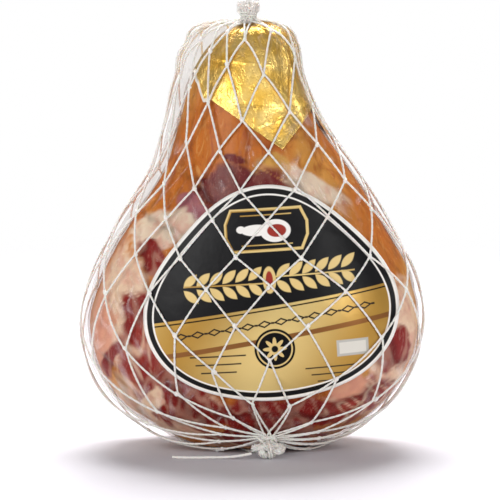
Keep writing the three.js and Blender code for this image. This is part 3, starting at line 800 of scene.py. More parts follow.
def knot_tree():
    """Puts a small lumpy knot on every point, lying along its 'out' direction."""
    sizes = {"Width": "NodeSocketFloat", "Seed": "NodeSocketInt"}
    tree, wire, given = geometry_tree("net_knots", {**sizes, "Finish": "NodeSocketMaterial"})
    ball = wire.make("GeometryNodeMeshIcoSphere", {"Radius": 1.0, "Subdivisions": 2})
    place = wire.make("GeometryNodeInputPosition")
    values = {"Vector": place, "Scale": 1.6, "Detail": 1.0}
    lump = wire.make("ShaderNodeTexNoise", values, out="Fac")
    values = {0: place, "Scale": 0.55 + lump * 0.9}
    drawn = wire.make("ShaderNodeVectorMath", values, operation="SCALE")
    ball = wire.make("GeometryNodeSetPosition", {"Geometry": ball, "Position": drawn})
    ball = wire.make("GeometryNodeTransform", {"Geometry": ball, "Scale": (1.0, 1.35, 0.8)})
    values = {"Name": "out"}
    out = wire.make("GeometryNodeInputNamedAttribute", values, data_type="FLOAT_VECTOR")
    facing = wire.make("FunctionNodeAlignRotationToVector", {"Vector": out}, axis="Z")
    low, high = given["Width"] * 0.85, given["Width"] * 1.2
    values = {2: low, 3: high, "Seed": given["Seed"]}
    size = wire.make("FunctionNodeRandomValue", values, out=1, data_type="FLOAT")
    values = {"Points": given["Geometry"], "Instance": ball, "Rotation": facing, "Scale": size}
    tree_output(wire, wire.make("GeometryNodeInstanceOnPoints", values), given["Finish"])
    return tree


def grown(name, mesh, tree, **values):
    """The mesh after the tree, as a plain object."""
    seed = add(name + "_seed", mesh)
    modifier = seed.modifiers.new("grow", "NODES")
    modifier.node_group = tree
    for item in tree.interface.items_tree:
        if item.in_out == "INPUT" and item.name in values:
            modifier[item.identifier] = values[item.name]
    graph = bpy.context.evaluated_depsgraph_get()
    done = bpy.data.meshes.new_from_object(seed.evaluated_get(graph))
    done.name = name
    bpy.data.objects.remove(seed)
    done.shade_smooth()
    return add(name, done)


def chains(name, paths):
    """A mesh of edges along each path, in millimetres in the ham's frame."""
    points, edges = [], []
    for path in paths:
        start = len(points)
        points.extend(in_frame(path).tolist())
        edges.extend((start + i, start + i + 1) for i in range(len(path) - 1))
    mesh = bpy.data.meshes.new(name)
    mesh.from_pydata(points, edges, [])
    return mesh


# ---- the net's route ----

HEART = np.array([0.0, 0.0, 110.0])


def cast(direction):
    """Where each direction from the heart leaves the ham and its seams, and the way out there."""
    inner = np.zeros(len(direction))
    outer = np.full(len(direction), HAM_HEIGHT)
    for _ in range(24):
        middle = (inner + outer) / 2
        points = HEART + direction * middle[:, None]
        z = points[:, 2]
        within = (z > HAM_FOOT) & (z < HAM_TOP) & (reach(points, True) < 1)
        inner, outer = np.where(within, middle, inner), np.where(within, outer, middle)
    points = HEART + direction * inner[:, None]
    way = outward(points, True)
    way[points[:, 2] < HAM_FOOT + 0.01] = (0, 0, -1)
    way[points[:, 2] > HAM_TOP - 0.01] = (0, 0, 1)
    return points, way


def unit(vector):
    return vector / np.linalg.norm(vector)


TOP_POLE = unit(np.array([NECK_X, 0, HAM_TOP]) - HEART)
FOOT_POLE = unit(FOOT_GATHER - HEART)


def net_direction(phi, psi):
    """Directions at the polar angle phi and the turn psi, on an axis bent to both gathers."""
    foot = Vector((0, 0, -1)).rotation_difference(Vector(FOOT_POLE))
    top = Vector((0, 0, 1)).rotation_difference(Vector(TOP_POLE))
    whole = foot.copy()
    whole.identity()
    bend = smooth(math.pi / 3, math.pi, phi)
    around = [np.sin(phi) * np.sin(psi), -np.sin(phi) * np.cos(psi), np.cos(phi)]
    straight = np.stack(around, axis=-1)
    made = []
    for d, share in zip(straight, bend):
        v = Vector(d)
        v.rotate(whole.slerp(top, 1 - share))
        v.rotate(whole.slerp(foot, share))
        made.append(v)
    return np.array(made)


def row_angles():
    phi = np.linspace(0, math.pi, 401)
    points, _ = cast(net_direction(phi, 0 * phi))
    length = np.concatenate([[0], np.cumsum(np.linalg.norm(np.diff(points, axis=0), axis=1))])
    total = length[-1] - TOP_GATHER_RADIUS - FOOT_GATHER_RADIUS
    return lambda row: np.interp(TOP_GATHER_RADIUS + total * row / MESH_ROWS, length, phi)


PHI_OF_ROW = row_angles()


def net_place(row, column, rise):
    """Points of the net: row counts from the top and column round the ham."""
    row, column = np.asarray(row, float), np.asarray(column, float)
    even = 2 * math.pi * column / MESHES_ROUND
    share = row / MESH_ROWS
    to_belly, to_foot = smooth(0.15, 0.5, share), smooth(0.68, 1, share)
    crowding = blend(blend(2.1, 1.62, to_belly), 2.4, to_foot)
    psi = np.arctan2(crowding * np.sin(even), np.cos(even))
    psi = psi + blend(0.3, 0.16, to_belly) + TURN_DRIFT
    slipped = row + np.interp(row, range(MESH_ROWS + 1), ROW_DRIFT)
    droop = smooth(2.5, 4.5, row) * smooth(10.5, 6.5, row) * np.sin(psi) ** 2
    slipped = slipped + droop * np.where(np.sin(psi) > 0, *ROW_DROOP)
    points, way = cast(net_direction(PHI_OF_ROW(slipped), psi))
    return lifted(points, way, rise), way


def lifted(points, way, rise):
    """The points stood off the ham, a little more towards its foot."""
    low = 1.6 * (1 - smooth(0, 26, points[:, 2] - HAM_FOOT))
    return points + way * (rise + low)[:, None]


def loosened(row, column):
    """Knots moved a little way from their even places, though not at the two gathers."""
    spots = np.stack([row * 3.1, column * 3.1, 0 * row], axis=-1)
    loose = np.sin(np.pi * np.minimum(row, MESH_ROWS - row).clip(0, 1) / 2)
    row = row + 0.05 * grain(spots, 3.1, 101) * loose
    return row, column + 0.045 * grain(spots, 3.1, 103) * loose


def taut(knots, rise, steps):
    """The knots joined by cords drawn straight over the ham."""
    share = np.arange(steps)[:, None] / steps
    legs = [blend(a, b, share) for a, b in zip(knots, knots[1:])]
    lines = np.concatenate([*legs, knots[-1:]])
    away = lines - HEART
    points, way = cast(away / np.linalg.norm(away, axis=1, keepdims=True))
    return lifted(points, way, rise)


# ---- properties ----


class HamSettings(bpy.types.PropertyGroup):
    string_diameter: bpy.props.FloatProperty(
        name="String diameter",
        description="Across the net's cord",
        default=0.0018,
        unit="LENGTH",
    )
    string_lay: bpy.props.FloatProperty(
        name="String lay",
        description="Length of one full twist of the cord",
        default=0.011,
        unit="LENGTH",
    )
    knot_width: bpy.props.FloatProperty(
        name="Knot width",
        description="Half size of the net's knots",
        default=0.00165,
        unit="LENGTH",
    )
    film_crease: bpy.props.FloatProperty(
        name="Film creases",
        description="Height of the film's creases in millimetres",
        default=1.2,
        min=0,
    )
    foil_crease: bpy.props.FloatProperty(
        name="Foil creases", description="Slope of the foil's facets", default=0.085, min=0
    )
    lean_colour: bpy.props.FloatVectorProperty(
        name="Lean",
        description="Colour of the lean meat",
        subtype="COLOR",
        size=4,
        default=linear("8c150e"),
    )
    fat_colour: bpy.props.FloatVectorProperty(
        name="Fat",
        description="Colour of the fat",
        subtype="COLOR",
        size=4,
        default=linear("f3d3b4"),
    )
    rind_colour: bpy.props.FloatVectorProperty(
        name="Rind",
        description="Colour of the rind",
        subtype="COLOR",
        size=4,
        default=linear("cf7626"),
    )
    camera_distance: bpy.props.FloatProperty(
        name="Camera distance", description="From the ham's middle", default=3.6, unit="LENGTH"
    )
    camera_rise: bpy.props.FloatProperty(
        name="Camera rise",
        description="Angle above the floor",
        default=math.radians(7),
        subtype="ANGLE",
    )


# ---- the pieces ----

# Patches of tissue on the front: kind, x, z, half width, half height, turn in degrees.
PATCHES = [
    ("fat", -110, 122, 27, 54, 10),
    ("pink", -125, 96, 12, 34, 0),
    ("fat", 116, 88, 24, 52, -8),
    ("fat", -40, 30, 80, 22, -14),
    ("lean", 10, 28, 62, 24, 0),
    ("cream", 46, 216, 30, 10, -31),
    ("yellow", 13, 229, 15, 14, -20),
    ("maroon", -8, 212, 40, 21, -8),
    ("mauve", -50, 196, 14, 15, 25),
    ("cream", -72, 181, 27, 14, 24),
    ("lean", -80, 158, 13, 17, 20),
    ("lean", -93, 104, 15, 30, -10),
    ("streaky", -88, 84, 18, 26, -20),
    ("lean", -64, 51, 31, 25, -30),
    ("fat", -82, 44, 6, 14, -28),
    ("lean", -115, 70, 6, 22, -20),
    ("lean", 111, 86, 13, 18, -10),
    ("streaky", 84, 44, 28, 17, 28),
    ("pink", 76, 56, 14, 10, 20),
    ("orange", -30, 20, 9, 5, 10),
    ("orange", 58, 22, 14, 5, 8),
    ("bruise", -16, 236, 11, 3.5, 4),
]
TONES = {
    "pink": ("eaa98a", 0.1, 0.9, 0),
    "yellow": ("dda64c", 0, 0.8, 0.2),
    "maroon": ("741418", 0.9, 0, 0),
    "mauve": ("a8606a", 0.6, 0.4, 0),
    "cream": ("efd9bf", 0, 1, 0),
    "orange": ("c07030", 0, 0.4, 0.6),
    "bruise": ("741313", 0.5, 0, 0.2),
    "streaky": ("982418", 0.7, 0.3, 0),
}


def tissue(points, settings):
    """Colour, with painted shade along the grooves, and share of lean, fat and rind for each point.
    """
    below_tip = np.where(points[:, 2:] > HAM_TOP - 1, points - (0, 0, 1), points)
    way_front = smooth(0, -0.45, outward(below_tip)[:, 1])
    chosen = (settings.rind_colour, settings.fat_colour, settings.lean_colour)
    rind, fat, lean = (np.array(colour) for colour in chosen)
    clouds = layered(points, (46, 46, 60), 40)[:, None]
    smoky = smooth(0.05, 0.6, layered(points, (34, 34, 50), 44))[:, None]
    colour = blend(rind, np.array(linear("e3a04a")), smooth(-0.2, 0.6, clouds))
    colour = blend(colour, np.array(linear("9c4412")), 0.7 * smoky)
    low_back = 0.5 * smooth(30, -40, points[:, 2:] - 60) * (1 - way_front[:, None])
    colour = blend(colour, np.array(linear("c98a5a")), low_back)
    shares = np.tile([0.0, 0.0, 1.0], (len(points), 1))
    wander = points + 7 * np.stack(
        [layered(points, 22, 51), 0 * points[:, 0], layered(points, 22, 57)], axis=-1
    )
    for seed, (kind, x, z, wide, high, turn) in enumerate(PATCHES):
        local = turned(wander - (x, 0, z), turn)
        far = np.hypot(local[:, 0] / wide, local[:, 2] / high)
        fan = ridges(turned(points, turn + 70), (4, 9, 30), 160 + seed)
        mask = smooth(1.16, 0.84, far + 0.16 * (fan - 0.4)) * way_front
        if kind in TONES:
            code, *share = TONES[kind]
            tone = np.array(linear(code))
        else:
            tone, share = (lean, (1, 0, 0)) if kind == "lean" else (fat, (0, 1, 0))
        tone = np.tile(tone, (len(points), 1))
        share = np.tile(share, (len(points), 1)).astype(float)
        if kind in ("streaky", "lean", "maroon"):
            # Seams of fat run along the muscle.
            vein = ridges(turned(points, turn + 20), (7, 9, 34), 60 + seed)
            amount = {"streaky": 0.75, "lean": 0.26, "maroon": 0.06}[kind] * smooth(0.35, 0.9, vein)
            tone = blend(tone, fat, amount[:, None])
            share = blend(share, np.array([0.0, 1.0, 0.0]), amount[:, None])
        mask = mask[:, None]
        colour = blend(colour, tone * (1 + 0.12 * clouds), mask)
        shares = blend(shares, share, mask)
    # Painted shade: the colour is darkened along each groove between the muscles.
    for a, b, _, width in GROOVES:
        dark = 0.5 * np.exp(-((line_distance(wander, a, b) / width * 1.3) ** 2)) * way_front
        colour = blend(colour, colour * 0.35, dark[:, None])
    colour[:, 3] = 1
    return np.clip(colour, 0, 1), shares


class HAM_OT_meat(bpy.types.Operator):
    """Adds the ham itself, with its rind, fat and lean"""

    bl_idname = "ham.meat"
    bl_label = "Meat"

    def execute(self, context):
        settings = context.scene.ham_settings
        mesh, points = skin("cured_ham", 360, 250, relief)
        colour, shares = tissue(points, settings)
        note(mesh, "tone", colour)
        for name, values in zip(("lean", "fat", "rind"), shares.T):
            note(mesh, name, values)
        finished(add("cured_ham", mesh, meat_material()), "meat", "ham")
        return {"FINISHED"}


def facets(points, slope):
    """Flat facets that meet in sharp folds, as in creased foil."""
    total = 0
    rng = np.random.default_rng(11)
    for wave in (54, 39, 28, 20, 13):
        way = rng.normal(size=3)
        way /= np.linalg.norm(way)
        bent = points @ way + 5 * grain(points, 40, int(wave))
        phase = (bent / wave + rng.random()) % 1
        total = total + wave * slope * np.abs(phase - 0.5)
    return total


# Where the foil is lapped over itself: from (x, z) to (x, z), and how far the lap stands up.
FOIL_LAPS = [
    ((-30, 314), (14, 309), 0.6),
    ((-7, 312), (-14, 284), 0.6),
    ((-13, 279), (42, 277), 0.9),
    ((2, 261), (40, 276), 1.1),
    ((20, 336), (34, 290), 0.4),
]


class HAM_OT_foil(bpy.types.Operator):
    """Adds the square of gold foil folded over the shank"""

    bl_idname = "ham.foil"
    bl_label = "Gold foil"

    def execute(self, context):
        columns, rows = 300, 130
        angle = 2 * math.pi * np.arange(columns) / columns
        levels = HAM_TOP - np.concatenate([np.linspace(0.02, 6, 60), np.linspace(6.5, 190, 300)])
        paths = ham_point(levels[:, None], angle[None, :])
        steps = np.linalg.norm(np.diff(paths, axis=0), axis=-1)
        start = np.linalg.norm(paths[:1] - SHANK_TIP, axis=-1)
        length = np.concatenate([start, start + np.cumsum(steps, axis=0)])
        circle = np.stack([9 * np.cos(angle), 9 * np.sin(angle), 0 * angle], axis=-1)
        edge = foil_reach(angle) + 1.5 * np.sin(5 * angle + 1) + 1.2 * grain(circle, 1.1, 5)
        # The front corner: below its two straight edges there is no foil.
        side = paths[..., 0] - FOIL_TIP[0]
        limit = FOIL_TIP[1] + np.where(side > 0, FOIL_TIP_SLOPES[1], -FOIL_TIP_SLOPES[0]) * side
        past = np.argmax(paths[..., 2] < limit, axis=0)
        at = np.arange(columns)
        cut = (paths[past, at, 1] < -2) & (np.abs(paths[past, at, 0] - 11) < 47)
        edge = np.where(cut, length[past, at], edge)
        share = (np.arange(rows) + 1) / rows
        down = [np.interp(share * edge[i], length[:, i], levels) for i in range(columns)]
        z = np.stack(down, axis=1)
        base = ham_point(z, angle[None, :])
        way = outward(base)
        crumple = facets(base, context.scene.ham_settings.foil_crease)
        crumple = crumple - crumple.mean()
        for a, b, lap in FOIL_LAPS:
            a, b = np.array(a, float), np.array(b, float)
            normal = np.array([a[1] - b[1], b[0] - a[0]]) / np.linalg.norm(b - a)
            signed = (base[..., [0, 2]] - a) @ normal
            along = (base[..., [0, 2]] - a) @ (b - a) / ((b - a) @ (b - a))
            near = smooth(-0.1, 0.05, along) * smooth(1.1, 0.95, along)
            near = near * smooth(5, -10, base[..., 1])
            step = smooth(-0.35, 0.35, signed) * np.exp(-np.maximum(signed, 0) / 12)
            crumple = crumple + 2.2 * lap * near * step
        rim = smooth(0.93, 1, share)[:, None]
        shift = np.clip(0.35 * crumple + np.maximum(relief(base), -0.6), -0.9, 0.9) + 0.5 * rim
        inner = base + way * (FOIL_LIFT + shift)[..., None]
        outer = base + way * (FOIL_LIFT + FOIL_THICK + shift)[..., None]
        rise = FOIL_LIFT + shift[0].mean()
        mesh, _ = shell(
            "gold_foil_wrap",
            np.concatenate([inner, outer[::-1]]),
            SHANK_TIP + (0, 0, rise),
            SHANK_TIP + (0, 0, rise + FOIL_THICK),
        )
        left = smooth(-30, -40, base[..., 0]) * smooth(30, 0, base[..., 1])
        gap = (1 - share)[:, None] * edge[None, :]
        paper = smooth(3.6, 2.4, gap) * left
        both = np.concatenate([[1.0], np.ones(inner[..., 0].size), paper[::-1].ravel(), [0.0]])
        note(mesh, "paper", both)
        finished(add("gold_foil_wrap", mesh, foil_material()), "foil", "gold_foil")
        return {"FINISHED"}


def creases(points):
    """Creases of the film drawn tight: crests from 0 to 1."""
    fans = ridges(turned(points, 25), (5, 9, 42), 71) * smooth(-0.1, 0.5, grain(points, 34, 72))
    cross = ridges(turned(points, -38), (6, 9, 36), 73) * smooth(0.0, 0.6, grain(points, 30, 74))
    upright = ridges(points, (5, 8, 60), 75) * smooth(0.1, 0.6, grain(points, 40, 76))
    foot = ridges(points, (40, 9, 4.5), 77) * smooth(60, 25, points[..., 2])
    height = (points[..., 2] - HAM_FOOT) / HAM_HEIGHT
    top = ridges(points, (4, 6, 50), 78) * smooth(0.75, 1.0, height)
    return np.clip(np.maximum.reduce([fans, cross, upright, 0.7 * foot, 0.8 * top]), 0, 1) ** 1.6


def foil_mask(points):
    return smooth(0.66, 0.78, (points[..., 2] - HAM_FOOT) / HAM_HEIGHT)


class HAM_OT_film(bpy.types.Operator):
    """Adds the vacuum bag: its skin, its two welded seams and its gathered mouth"""

    bl_idname = "ham.film"
    bl_label = "Vacuum bag"

    def seam(self, name, reach_list, side, finish):
        rows, across = 220, 26
        z = np.linspace(HAM_FOOT + 10, HAM_TOP + 0.8, rows)
        middle, left, _, _, _ = section(np.minimum(z, HAM_TOP - 0.05))
        out = seam_reach(reach_list, z) + 0.8 * grain(np.stack([z, 0 * z, 0 * z], -1), 9, 81)
        share = np.linspace(0, 1, across)
        start = np.maximum(left - 5, 0)
        x = middle[:, None] + side * (start[:, None] + share * (out + left - start)[:, None])
        points = np.stack([x, 0 * x, np.broadcast_to(z[:, None], x.shape)], axis=-1)
        wave = 1.6 * grain(points, (18, 1, 11), 83) + 0.9 * grain(points, (7, 1, 26), 85)
        points[..., 1] = wave * share * np.minimum(out[:, None] / 12, 1)
        thick = np.array([0, 0.3, 0])
        ring = np.concatenate([points - thick, (points + thick)[:, ::-1]], axis=1)
        ring = ring if side > 0 else ring[:, ::-1]
        mesh, _ = shell(name, ring, ring[0].mean(axis=0), ring[-1].mean(axis=0))
        edge = np.concatenate([share, share[::-1]])
        edge = edge if side > 0 else edge[::-1]
        # The weld's outer edge and its pleats turn whiter: partly the film's own whitening, partly
        # painted highlight.
        pleats = ridges(ring, (12, 1, 10), 87) * 0.4
        crease = np.maximum(smooth(0.86, 0.97, edge)[None, :] * 0.8, pleats)
        note(mesh, "crease", np.concatenate([[0], crease.ravel(), [0]]))
        finished(add(name, mesh, finish), "film")

    def mouth(self, finish):
        rows, across, pleats = 34, 120, 11
        angle = 2 * math.pi * np.arange(across) / across
        share = np.linspace(0, 1, rows)[:, None]
        round_it = np.stack([np.cos(angle), np.sin(angle), 0 * angle], -1)
        ragged = 3.4 * grain(round_it, 0.5, 91)
        height = -1.0 + (16 + ragged) * share
        waist = np.exp(-(((share - 0.36) / 0.15) ** 2))
        flare = blend(9.5, 9.0 + 2.0 * grain(round_it, 0.8, 93), smooth(0.4, 1, share))
        radius = blend(flare, 4.2, waist)
        deep = blend(0.18, 0.5, smooth(0.3, 0.9, share))
        wave = pleats * angle + 2.4 * share + 0.8 * np.sin(3 * angle)
        fold = 1 - deep * (0.5 + 0.5 * np.cos(wave))
        outer = np.stack(
            [
                NECK_X + radius * fold * np.cos(angle),
                radius * fold * np.sin(angle) * 0.9,
                HAM_TOP + height + 0 * radius,
            ],
            axis=-1,
        )
        inner = outer.copy()
        inner[..., 0] = NECK_X + (outer[..., 0] - NECK_X) * 0.88
        inner[..., 1] *= 0.88
        inner[0] = inner[0] + (0, 0, 0.3)
        rings = np.concatenate([outer, inner[::-1]])
        mesh, _ = shell("film_mouth", rings, outer[0].mean(axis=0), inner[0].mean(axis=0))
        # The pleats turn whiter in turn round the mouth: partly the film's own whitening, partly
        # painted highlight.
        crease = np.tile(0.55 + 0.4 * np.cos(pleats * angle), 2 * rows)
        note(mesh, "crease", np.concatenate([[0], crease, [0]]))
        finished(add("film_mouth", mesh, finish), "film")

    def execute(self, context):
        height = context.scene.ham_settings.film_crease

        def rise(points):
            open_film = 1 - under_label(points)
            over = FILM_RISE + relief(points) * 0.92
            return over + height * creases(points) * open_film + 0.5 * foil_mask(points)

        mesh, points = skin("vacuum_film", 340, 260, rise)
        # The creases turn whiter in the film's colour: partly the film's own whitening, partly
        # painted highlight.
        note(mesh, "crease", creases(points) * (1 - under_label(points)))
        film = add("vacuum_film", mesh, film_material("clear_film", 0.0, "4a4442"))
        finished(film, "film", "vacuum_bag")
        seam_film = film_material("seam_film", 0.13, "c9c3c1")
        self.seam("film_seam_left", LEFT_SEAM, -1, seam_film)
        self.seam("film_seam_right", RIGHT_SEAM, 1, seam_film)
        self.mouth(film_material("mouth_film", 0.3, "efecea"))
        return {"FINISHED"}


class HAM_OT_label(bpy.types.Operator):
    """Adds the printed label on the front"""

    bl_idname = "ham.label"
    bl_label = "Label"

    def execute(self, context):
        columns, rows = 180, 44
        angle = 2 * math.pi * np.arange(columns) / columns
        share = ((np.arange(rows) + 1) / rows) ** 0.85
        radius = share[:, None] * label_radius(angle)[None, :]
        flat = np.stack([radius * np.cos(angle), radius * np.sin(angle)], axis=-1)
        c, s = math.cos(LABEL_TURN), math.sin(LABEL_TURN)
        x = LABEL_X + c * flat[..., 0] - s * flat[..., 1]
        z = LABEL_Z + s * flat[..., 0] + c * flat[..., 1]
        base = front_point(x, z)
        way = outward(base)
        dents = 0.35 * grain(base, 26, 95) + 0.2 * ridges(turned(base, 60), (9, 9, 60), 96)
        lift = (LABEL_RISE + dents * smooth(0.2, 0.9, share)[:, None])[..., None]
        inner, outer = base + way * lift, base + way * (lift + LABEL_THICK)
        middle = front_point(np.array([LABEL_X + 0.0]), np.array([LABEL_Z + 0.0]))
        normal = outward(middle)[0]
        back, face = (middle[0] + normal * rise for rise in (LABEL_RISE, LABEL_RISE + LABEL_THICK))
        mesh, _ = shell("front_label", np.concatenate([inner, outer[::-1]]), back, face)
        centre = [[0.0, 0.0]]
        place = np.concatenate([centre, flat.reshape(-1, 2), flat[::-1].reshape(-1, 2), centre])
        corner = np.empty(len(mesh.loops), np.int32)
        mesh.loops.foreach_get("vertex_index", corner)
        layer = mesh.uv_layers.new(name="print")
        layer.data.foreach_set("uv", (place[corner] / PRINT_WIDTH + 0.5).astype(np.float32).ravel())
        finished(add("front_label", mesh, label_material()), "label", "label")
        return {"FINISHED"}


def tuft_path(start, side, seed):
    """Where one cord of the net goes from the top gather up through its tie."""
    rng = np.random.default_rng(seed)
    turn = math.atan2(start[1], start[0] - NECK_X) + side * 0.11
    base = np.array([NECK_X, 0, HAM_TOP])
    top = rng.uniform(9.5, 16)
    stops = [(6.6, 2.4, 0), (5.0, 4.4, 0.1), (4.7, 6.2, 0.2), (6.0, 8.4, 0.35)]
    stops.append((rng.uniform(5.5, 9.5), top, rng.uniform(-0.6, 0.9)))
    spin = [turn + side * twist for _, _, twist in stops]
    return [base + (r * math.cos(t), r * math.sin(t), h) for (r, h, _), t in zip(stops, spin)]


FOOT_POINT, FOOT_WAY = (value[0] for value in cast(FOOT_POLE[None, :]))
KNOT_CENTRE = np.array([FOOT_POINT[0], FOOT_POINT[1] - 16, 6.9])


def foot_path(start, side):
    """Where one cord of the net goes from the foot gather through its tie into the knot."""
    off = start - FOOT_POINT
    off = off - FOOT_WAY * (off @ FOOT_WAY)
    off = off / max(np.linalg.norm(off), 1e-6)
    off = off + 0.25 * side * np.cross(FOOT_WAY, off)
    stops = [(5.0, 5.0), (4.2, 8.0), (4.0, 10.0)]
    path = [FOOT_POINT + FOOT_WAY * rise + off * r for r, rise in stops]
    return [*path, KNOT_CENTRE + (off[0] * 6, 3, off[2] * 2)]


def floored(path, radius):
    path = np.array(path, float)
    path[:, 2] = np.maximum(path[:, 2], radius)
    return path


class HAM_OT_net(bpy.types.Operator):
    """Adds the knotted string net, gathered at the top and at the foot"""

    bl_idname = "ham.net"
    bl_label = "Net"

    def execute(self, context):
        settings = context.scene.ham_settings
        radius = settings.string_diameter / MM / 2
        row = np.arange(MESH_ROWS + 1)
        paths = []
        for side in (-1, 1):
            for k in range(MESHES_ROUND):
                knots, _ = net_place(*loosened(row, k + side * row / 2), 0.0 * row)
                points = taut(knots, STRING_RISE + side * STRING_CROSSING, 24)
                tuft = tuft_path(points[0], side, 200 + k)[::-1]
                path = [*tuft, *points, *foot_path(points[-1], side)]
                paths.append(floored(path, radius))
        finish = string_material()
        values = {"Radius": radius * MM, "Step": 0.00125, "Lay": settings.string_lay}
        values.update(Groove=0.45, Finish=finish)
        net = grown("string_net", chains("net_lines", paths), cord_tree(), **values)
        finished(net, "string", "net")

        spots = []
        for r in range(1, MESH_ROWS):
            for k in range(MESHES_ROUND):
                spots.append((r, k + (r % 2) / 2))
        row, column = np.array(spots).T
        points, way = net_place(*loosened(row, column), STRING_RISE + 0 * row)
        points = floored(points, KNOT_HALF)
        mesh = bpy.data.meshes.new("knot_places")
        mesh.from_pydata(in_frame(points).tolist(), [], [])
        mesh.attributes.new("out", "FLOAT_VECTOR", "POINT").data.foreach_set("vector", way.ravel())
        values = {"Width": settings.knot_width, "Seed": 4, "Finish": finish}
        finished(grown("net_knots", mesh, knot_tree(), **values), "string")
        return {"FINISHED"}


def coil(centre, axis, radius, cord, turns, wobble=0.15):
    """A cord wound round an axis."""
    axis = unit(np.asarray(axis, float))
    other = (0.3, 0.2, 1.0) if abs(axis[2]) < 0.9 else (1.0, 0, 0)
    side = unit(np.cross(axis, other))
    up = np.cross(axis, side)
    t = np.linspace(0, 2 * math.pi * turns, int(40 * turns))
    rise = (t / (2 * math.pi) - turns / 2) * cord * 1.02
    swell = radius + wobble * np.sin(3 * t + 1)
    ring = side * np.cos(t)[:, None] + up * np.sin(t)[:, None]
    return np.asarray(centre) + ring * swell[:, None] + axis * rise[:, None]


class HAM_OT_ties(bpy.types.Operator):
    """Adds the two wound ties and the fat knot at the foot"""

    bl_idname = "ham.ties"
    bl_label = "Ties and foot knot"

    def execute(self, context):
        finish = string_material()
        tree = cord_tree()
        values = {"Radius": 0.0009, "Step": 0.0011, "Lay": 0.009, "Groove": 0.42}
        values["Finish"] = finish
        top_z = (TIE_LOW[2] + TIE_HIGH[2]) / 2
        top = coil((NECK_X, 0, top_z), (0.12, 0.05, 1), 5.9, 1.8, 2.4, 0.3)
        tie = grown("top_tie_cord", chains("top_tie_line", [top]), tree, **values)
        finished(tie, "string", "top_tie")

        foot = coil(FOOT_POINT + FOOT_WAY * 8.6, FOOT_WAY, 6.0, 1.8, 2.6)
        loop = coil(KNOT_CENTRE + (1, 0.5, 0), (1, 0.1, 0.15), 6.9, 1.8, 1.6)
        stub = KNOT_CENTRE + [
            (-2, -4, 4), (-4, -5.4, 6.5), (-6, -5.8, 8.6), (-8, -5.4, 10), (-9.6, -4.6, 10.8)
        ]
        lines = [floored(path, 0.9) for path in (foot, loop, stub)]
        tie = grown("foot_tie_cord", chains("foot_tie_line", lines), tree, **values)
        finished(tie, "string", "foot_tie")

        # The net's bunched end, tied in a knot: eight cords laid together along a knotted path.
        t = np.linspace(0, 2 * math.pi, 150)
        core = KNOT_CENTRE + np.stack(
            [
                12.0 * (np.sin(t) + 2 * np.sin(2 * t)) / 3,
                -3.2 * np.sin(3 * t),
                3.8 * (np.cos(t) - 2 * np.cos(2 * t)) / 3,
            ],
            axis=-1,
        )
        along = np.gradient(core, axis=0)
        along /= np.linalg.norm(along, axis=1, keepdims=True)
        side = np.cross(along, (0.1, 1.0, 0.2))
        side /= np.linalg.norm(side, axis=1, keepdims=True)
        up = np.cross(along, side)
        strands = [floored(core, FOOT_KNOT_HALF)]
        for k in range(FOOT_KNOT_CORDS):
            spin = (2 * math.pi * k / FOOT_KNOT_CORDS + 5 * t)[:, None]
            out = 2.1 + 0.5 * grain(core + 9 * k, 6, 120 + k)[:, None]
            strand = core + (side * np.cos(spin) + up * np.sin(spin)) * out
            strands.append(floored(strand, FOOT_KNOT_HALF))
        values.update(Radius=FOOT_KNOT_HALF * MM, Step=0.0016)
        knot = grown("foot_knot", chains("foot_knot_lines", strands), tree, **values)
        finished(knot, "string")
        return {"FINISHED"}


class HAM_OT_tail(bpy.types.Operator):
    """Adds the loose end of the foot's tie, lying on the floor"""

    bl_idname = "ham.tail"
    bl_label = "Tail"

    def execute(self, context):
        path = fine_curve(list(TAIL_ROUTE), 6)
        values = {
            "Radius": TAIL_DIAMETER * MM / 2,
            "Step": 0.0012,
            "Lay": 0.011,
            "Groove": 0.22,
            "Finish": string_material(),
        }
        tail = grown("tail_string", chains("tail_line", [path]), cord_tree(), **values)
        finished(tail, "string", "tail_cord")
        return {"FINISHED"}


# Lights, all aimed at the ham's middle: name, place, width and height in metres, watts.
LIGHTS = [
    ("key", (-1.1, -1.7, 0.75), (1.0, 1.0), 16.5),
    ("fill", (1.3, -1.6, 0.55), (0.6, 1.0), 9.5),
    ("panel", (0.1, -2.2, 1.5), (2.8, 1.7), 10),
    ("crown", (0.0, 0.75, 1.6), (1.0, 0.5), 48),
    ("left_strip", (-1.5, 0.1, 0.5), (0.2, 1.1), 4),
    ("right_strip", (1.5, 0.1, 0.5), (0.2, 1.1), 4),
    ("rear", (0.0, 2.2, 1.3), (2.0, 1.0), 16),
]
LIGHT_AIM = Vector((0, 0, 0.16))
CAMERA_AIM = Vector((-0.0015, 0, 0.158))
CAMERA_LENS = 322


def area_light(name, place, size, power):
    data = bpy.data.lights.new(name, "AREA")
    data.shape, data.size, data.size_y = "RECTANGLE", *size
    data.energy = power
    lamp = bpy.data.objects.new(name, data)
    lamp.location = place
    lamp.rotation_euler = (LIGHT_AIM - Vector(place)).to_track_quat("-Z", "Y").to_euler()
    bpy.context.scene.collection.objects.link(lamp)


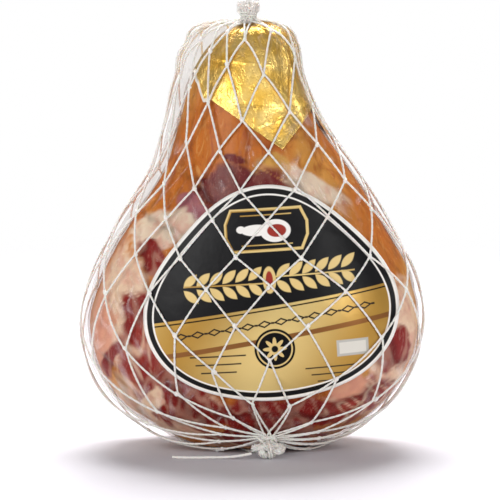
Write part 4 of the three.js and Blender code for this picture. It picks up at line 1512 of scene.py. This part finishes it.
class HAM_OT_stage(bpy.types.Operator):
    """Adds the pale floor, the soft lights and the camera"""

    bl_idname = "ham.stage"
    bl_label = "Floor, lights and camera"

    def execute(self, context):
        settings = context.scene.ham_settings
        turn = np.linspace(0, 2 * math.pi, 96, endpoint=False)
        rim = [(FLOOR_RADIUS * math.cos(a), FLOOR_RADIUS * math.sin(a), 0) for a in turn]
        mesh = bpy.data.meshes.new("floor")
        mesh.from_pydata(rim, [], [tuple(range(len(rim)))])
        add("floor", mesh, floor_material())

        for light in LIGHTS:
            area_light(*light)

        # The world lights the ham softly, and stands behind it as plain white.
        world = bpy.data.worlds.new("studio")
        world.use_nodes = True
        nodes, links = world.node_tree.nodes, world.node_tree.links
        soft = nodes["Background"]
        soft.inputs["Color"].default_value = (0.9, 0.92, 0.96, 1)
        soft.inputs["Strength"].default_value = WORLD_STRENGTH
        white = nodes.new("ShaderNodeBackground")
        white.inputs["Color"].default_value = (1, 1, 1, 1)
        seen, both = nodes.new("ShaderNodeLightPath"), nodes.new("ShaderNodeMixShader")
        links.new(seen.outputs["Is Camera Ray"], both.inputs[0])
        links.new(soft.outputs[0], both.inputs[1])
        links.new(white.outputs[0], both.inputs[2])
        links.new(both.outputs[0], nodes["World Output"].inputs["Surface"])
        context.scene.world = world
        context.scene.view_settings.view_transform = "Standard"

        data = bpy.data.cameras.new("camera")
        data.sensor_width = 36
        data.lens = CAMERA_LENS
        camera = bpy.data.objects.new("camera", data)
        back = Vector((0, -math.cos(settings.camera_rise), math.sin(settings.camera_rise)))
        camera.location = CAMERA_AIM + back * settings.camera_distance
        camera.rotation_euler = (-back).to_track_quat("-Z", "Y").to_euler()
        context.scene.collection.objects.link(camera)
        context.scene.camera = camera
        return {"FINISHED"}


class HAM_PT_panel(bpy.types.Panel):
    """Lists the ham's sizes, colours and pieces"""

    bl_label = "Cured ham"
    bl_space_type = "VIEW_3D"
    bl_region_type = "UI"
    bl_category = "Ham"

    def draw(self, context):
        settings = context.scene.ham_settings
        for name in HamSettings.__annotations__:
            self.layout.prop(settings, name)
        for piece in PIECES:
            self.layout.operator(piece.bl_idname)


PIECES = (
    HAM_OT_stage,
    HAM_OT_tail,
    HAM_OT_meat,
    HAM_OT_foil,
    HAM_OT_film,
    HAM_OT_label,
    HAM_OT_net,
    HAM_OT_ties,
)
CLASSES = (HamSettings, *PIECES, HAM_PT_panel)


def register():
    for one in CLASSES:
        bpy.utils.register_class(one)
    bpy.types.Scene.ham_settings = bpy.props.PointerProperty(type=HamSettings)


def unregister():
    del bpy.types.Scene.ham_settings
    for one in reversed(CLASSES):
        bpy.utils.unregister_class(one)


def main():
    register()
    for piece in PIECES:
        group, name = piece.bl_idname.split(".")
        getattr(getattr(bpy.ops, group), name)()


if __name__ == "__main__":
    main()
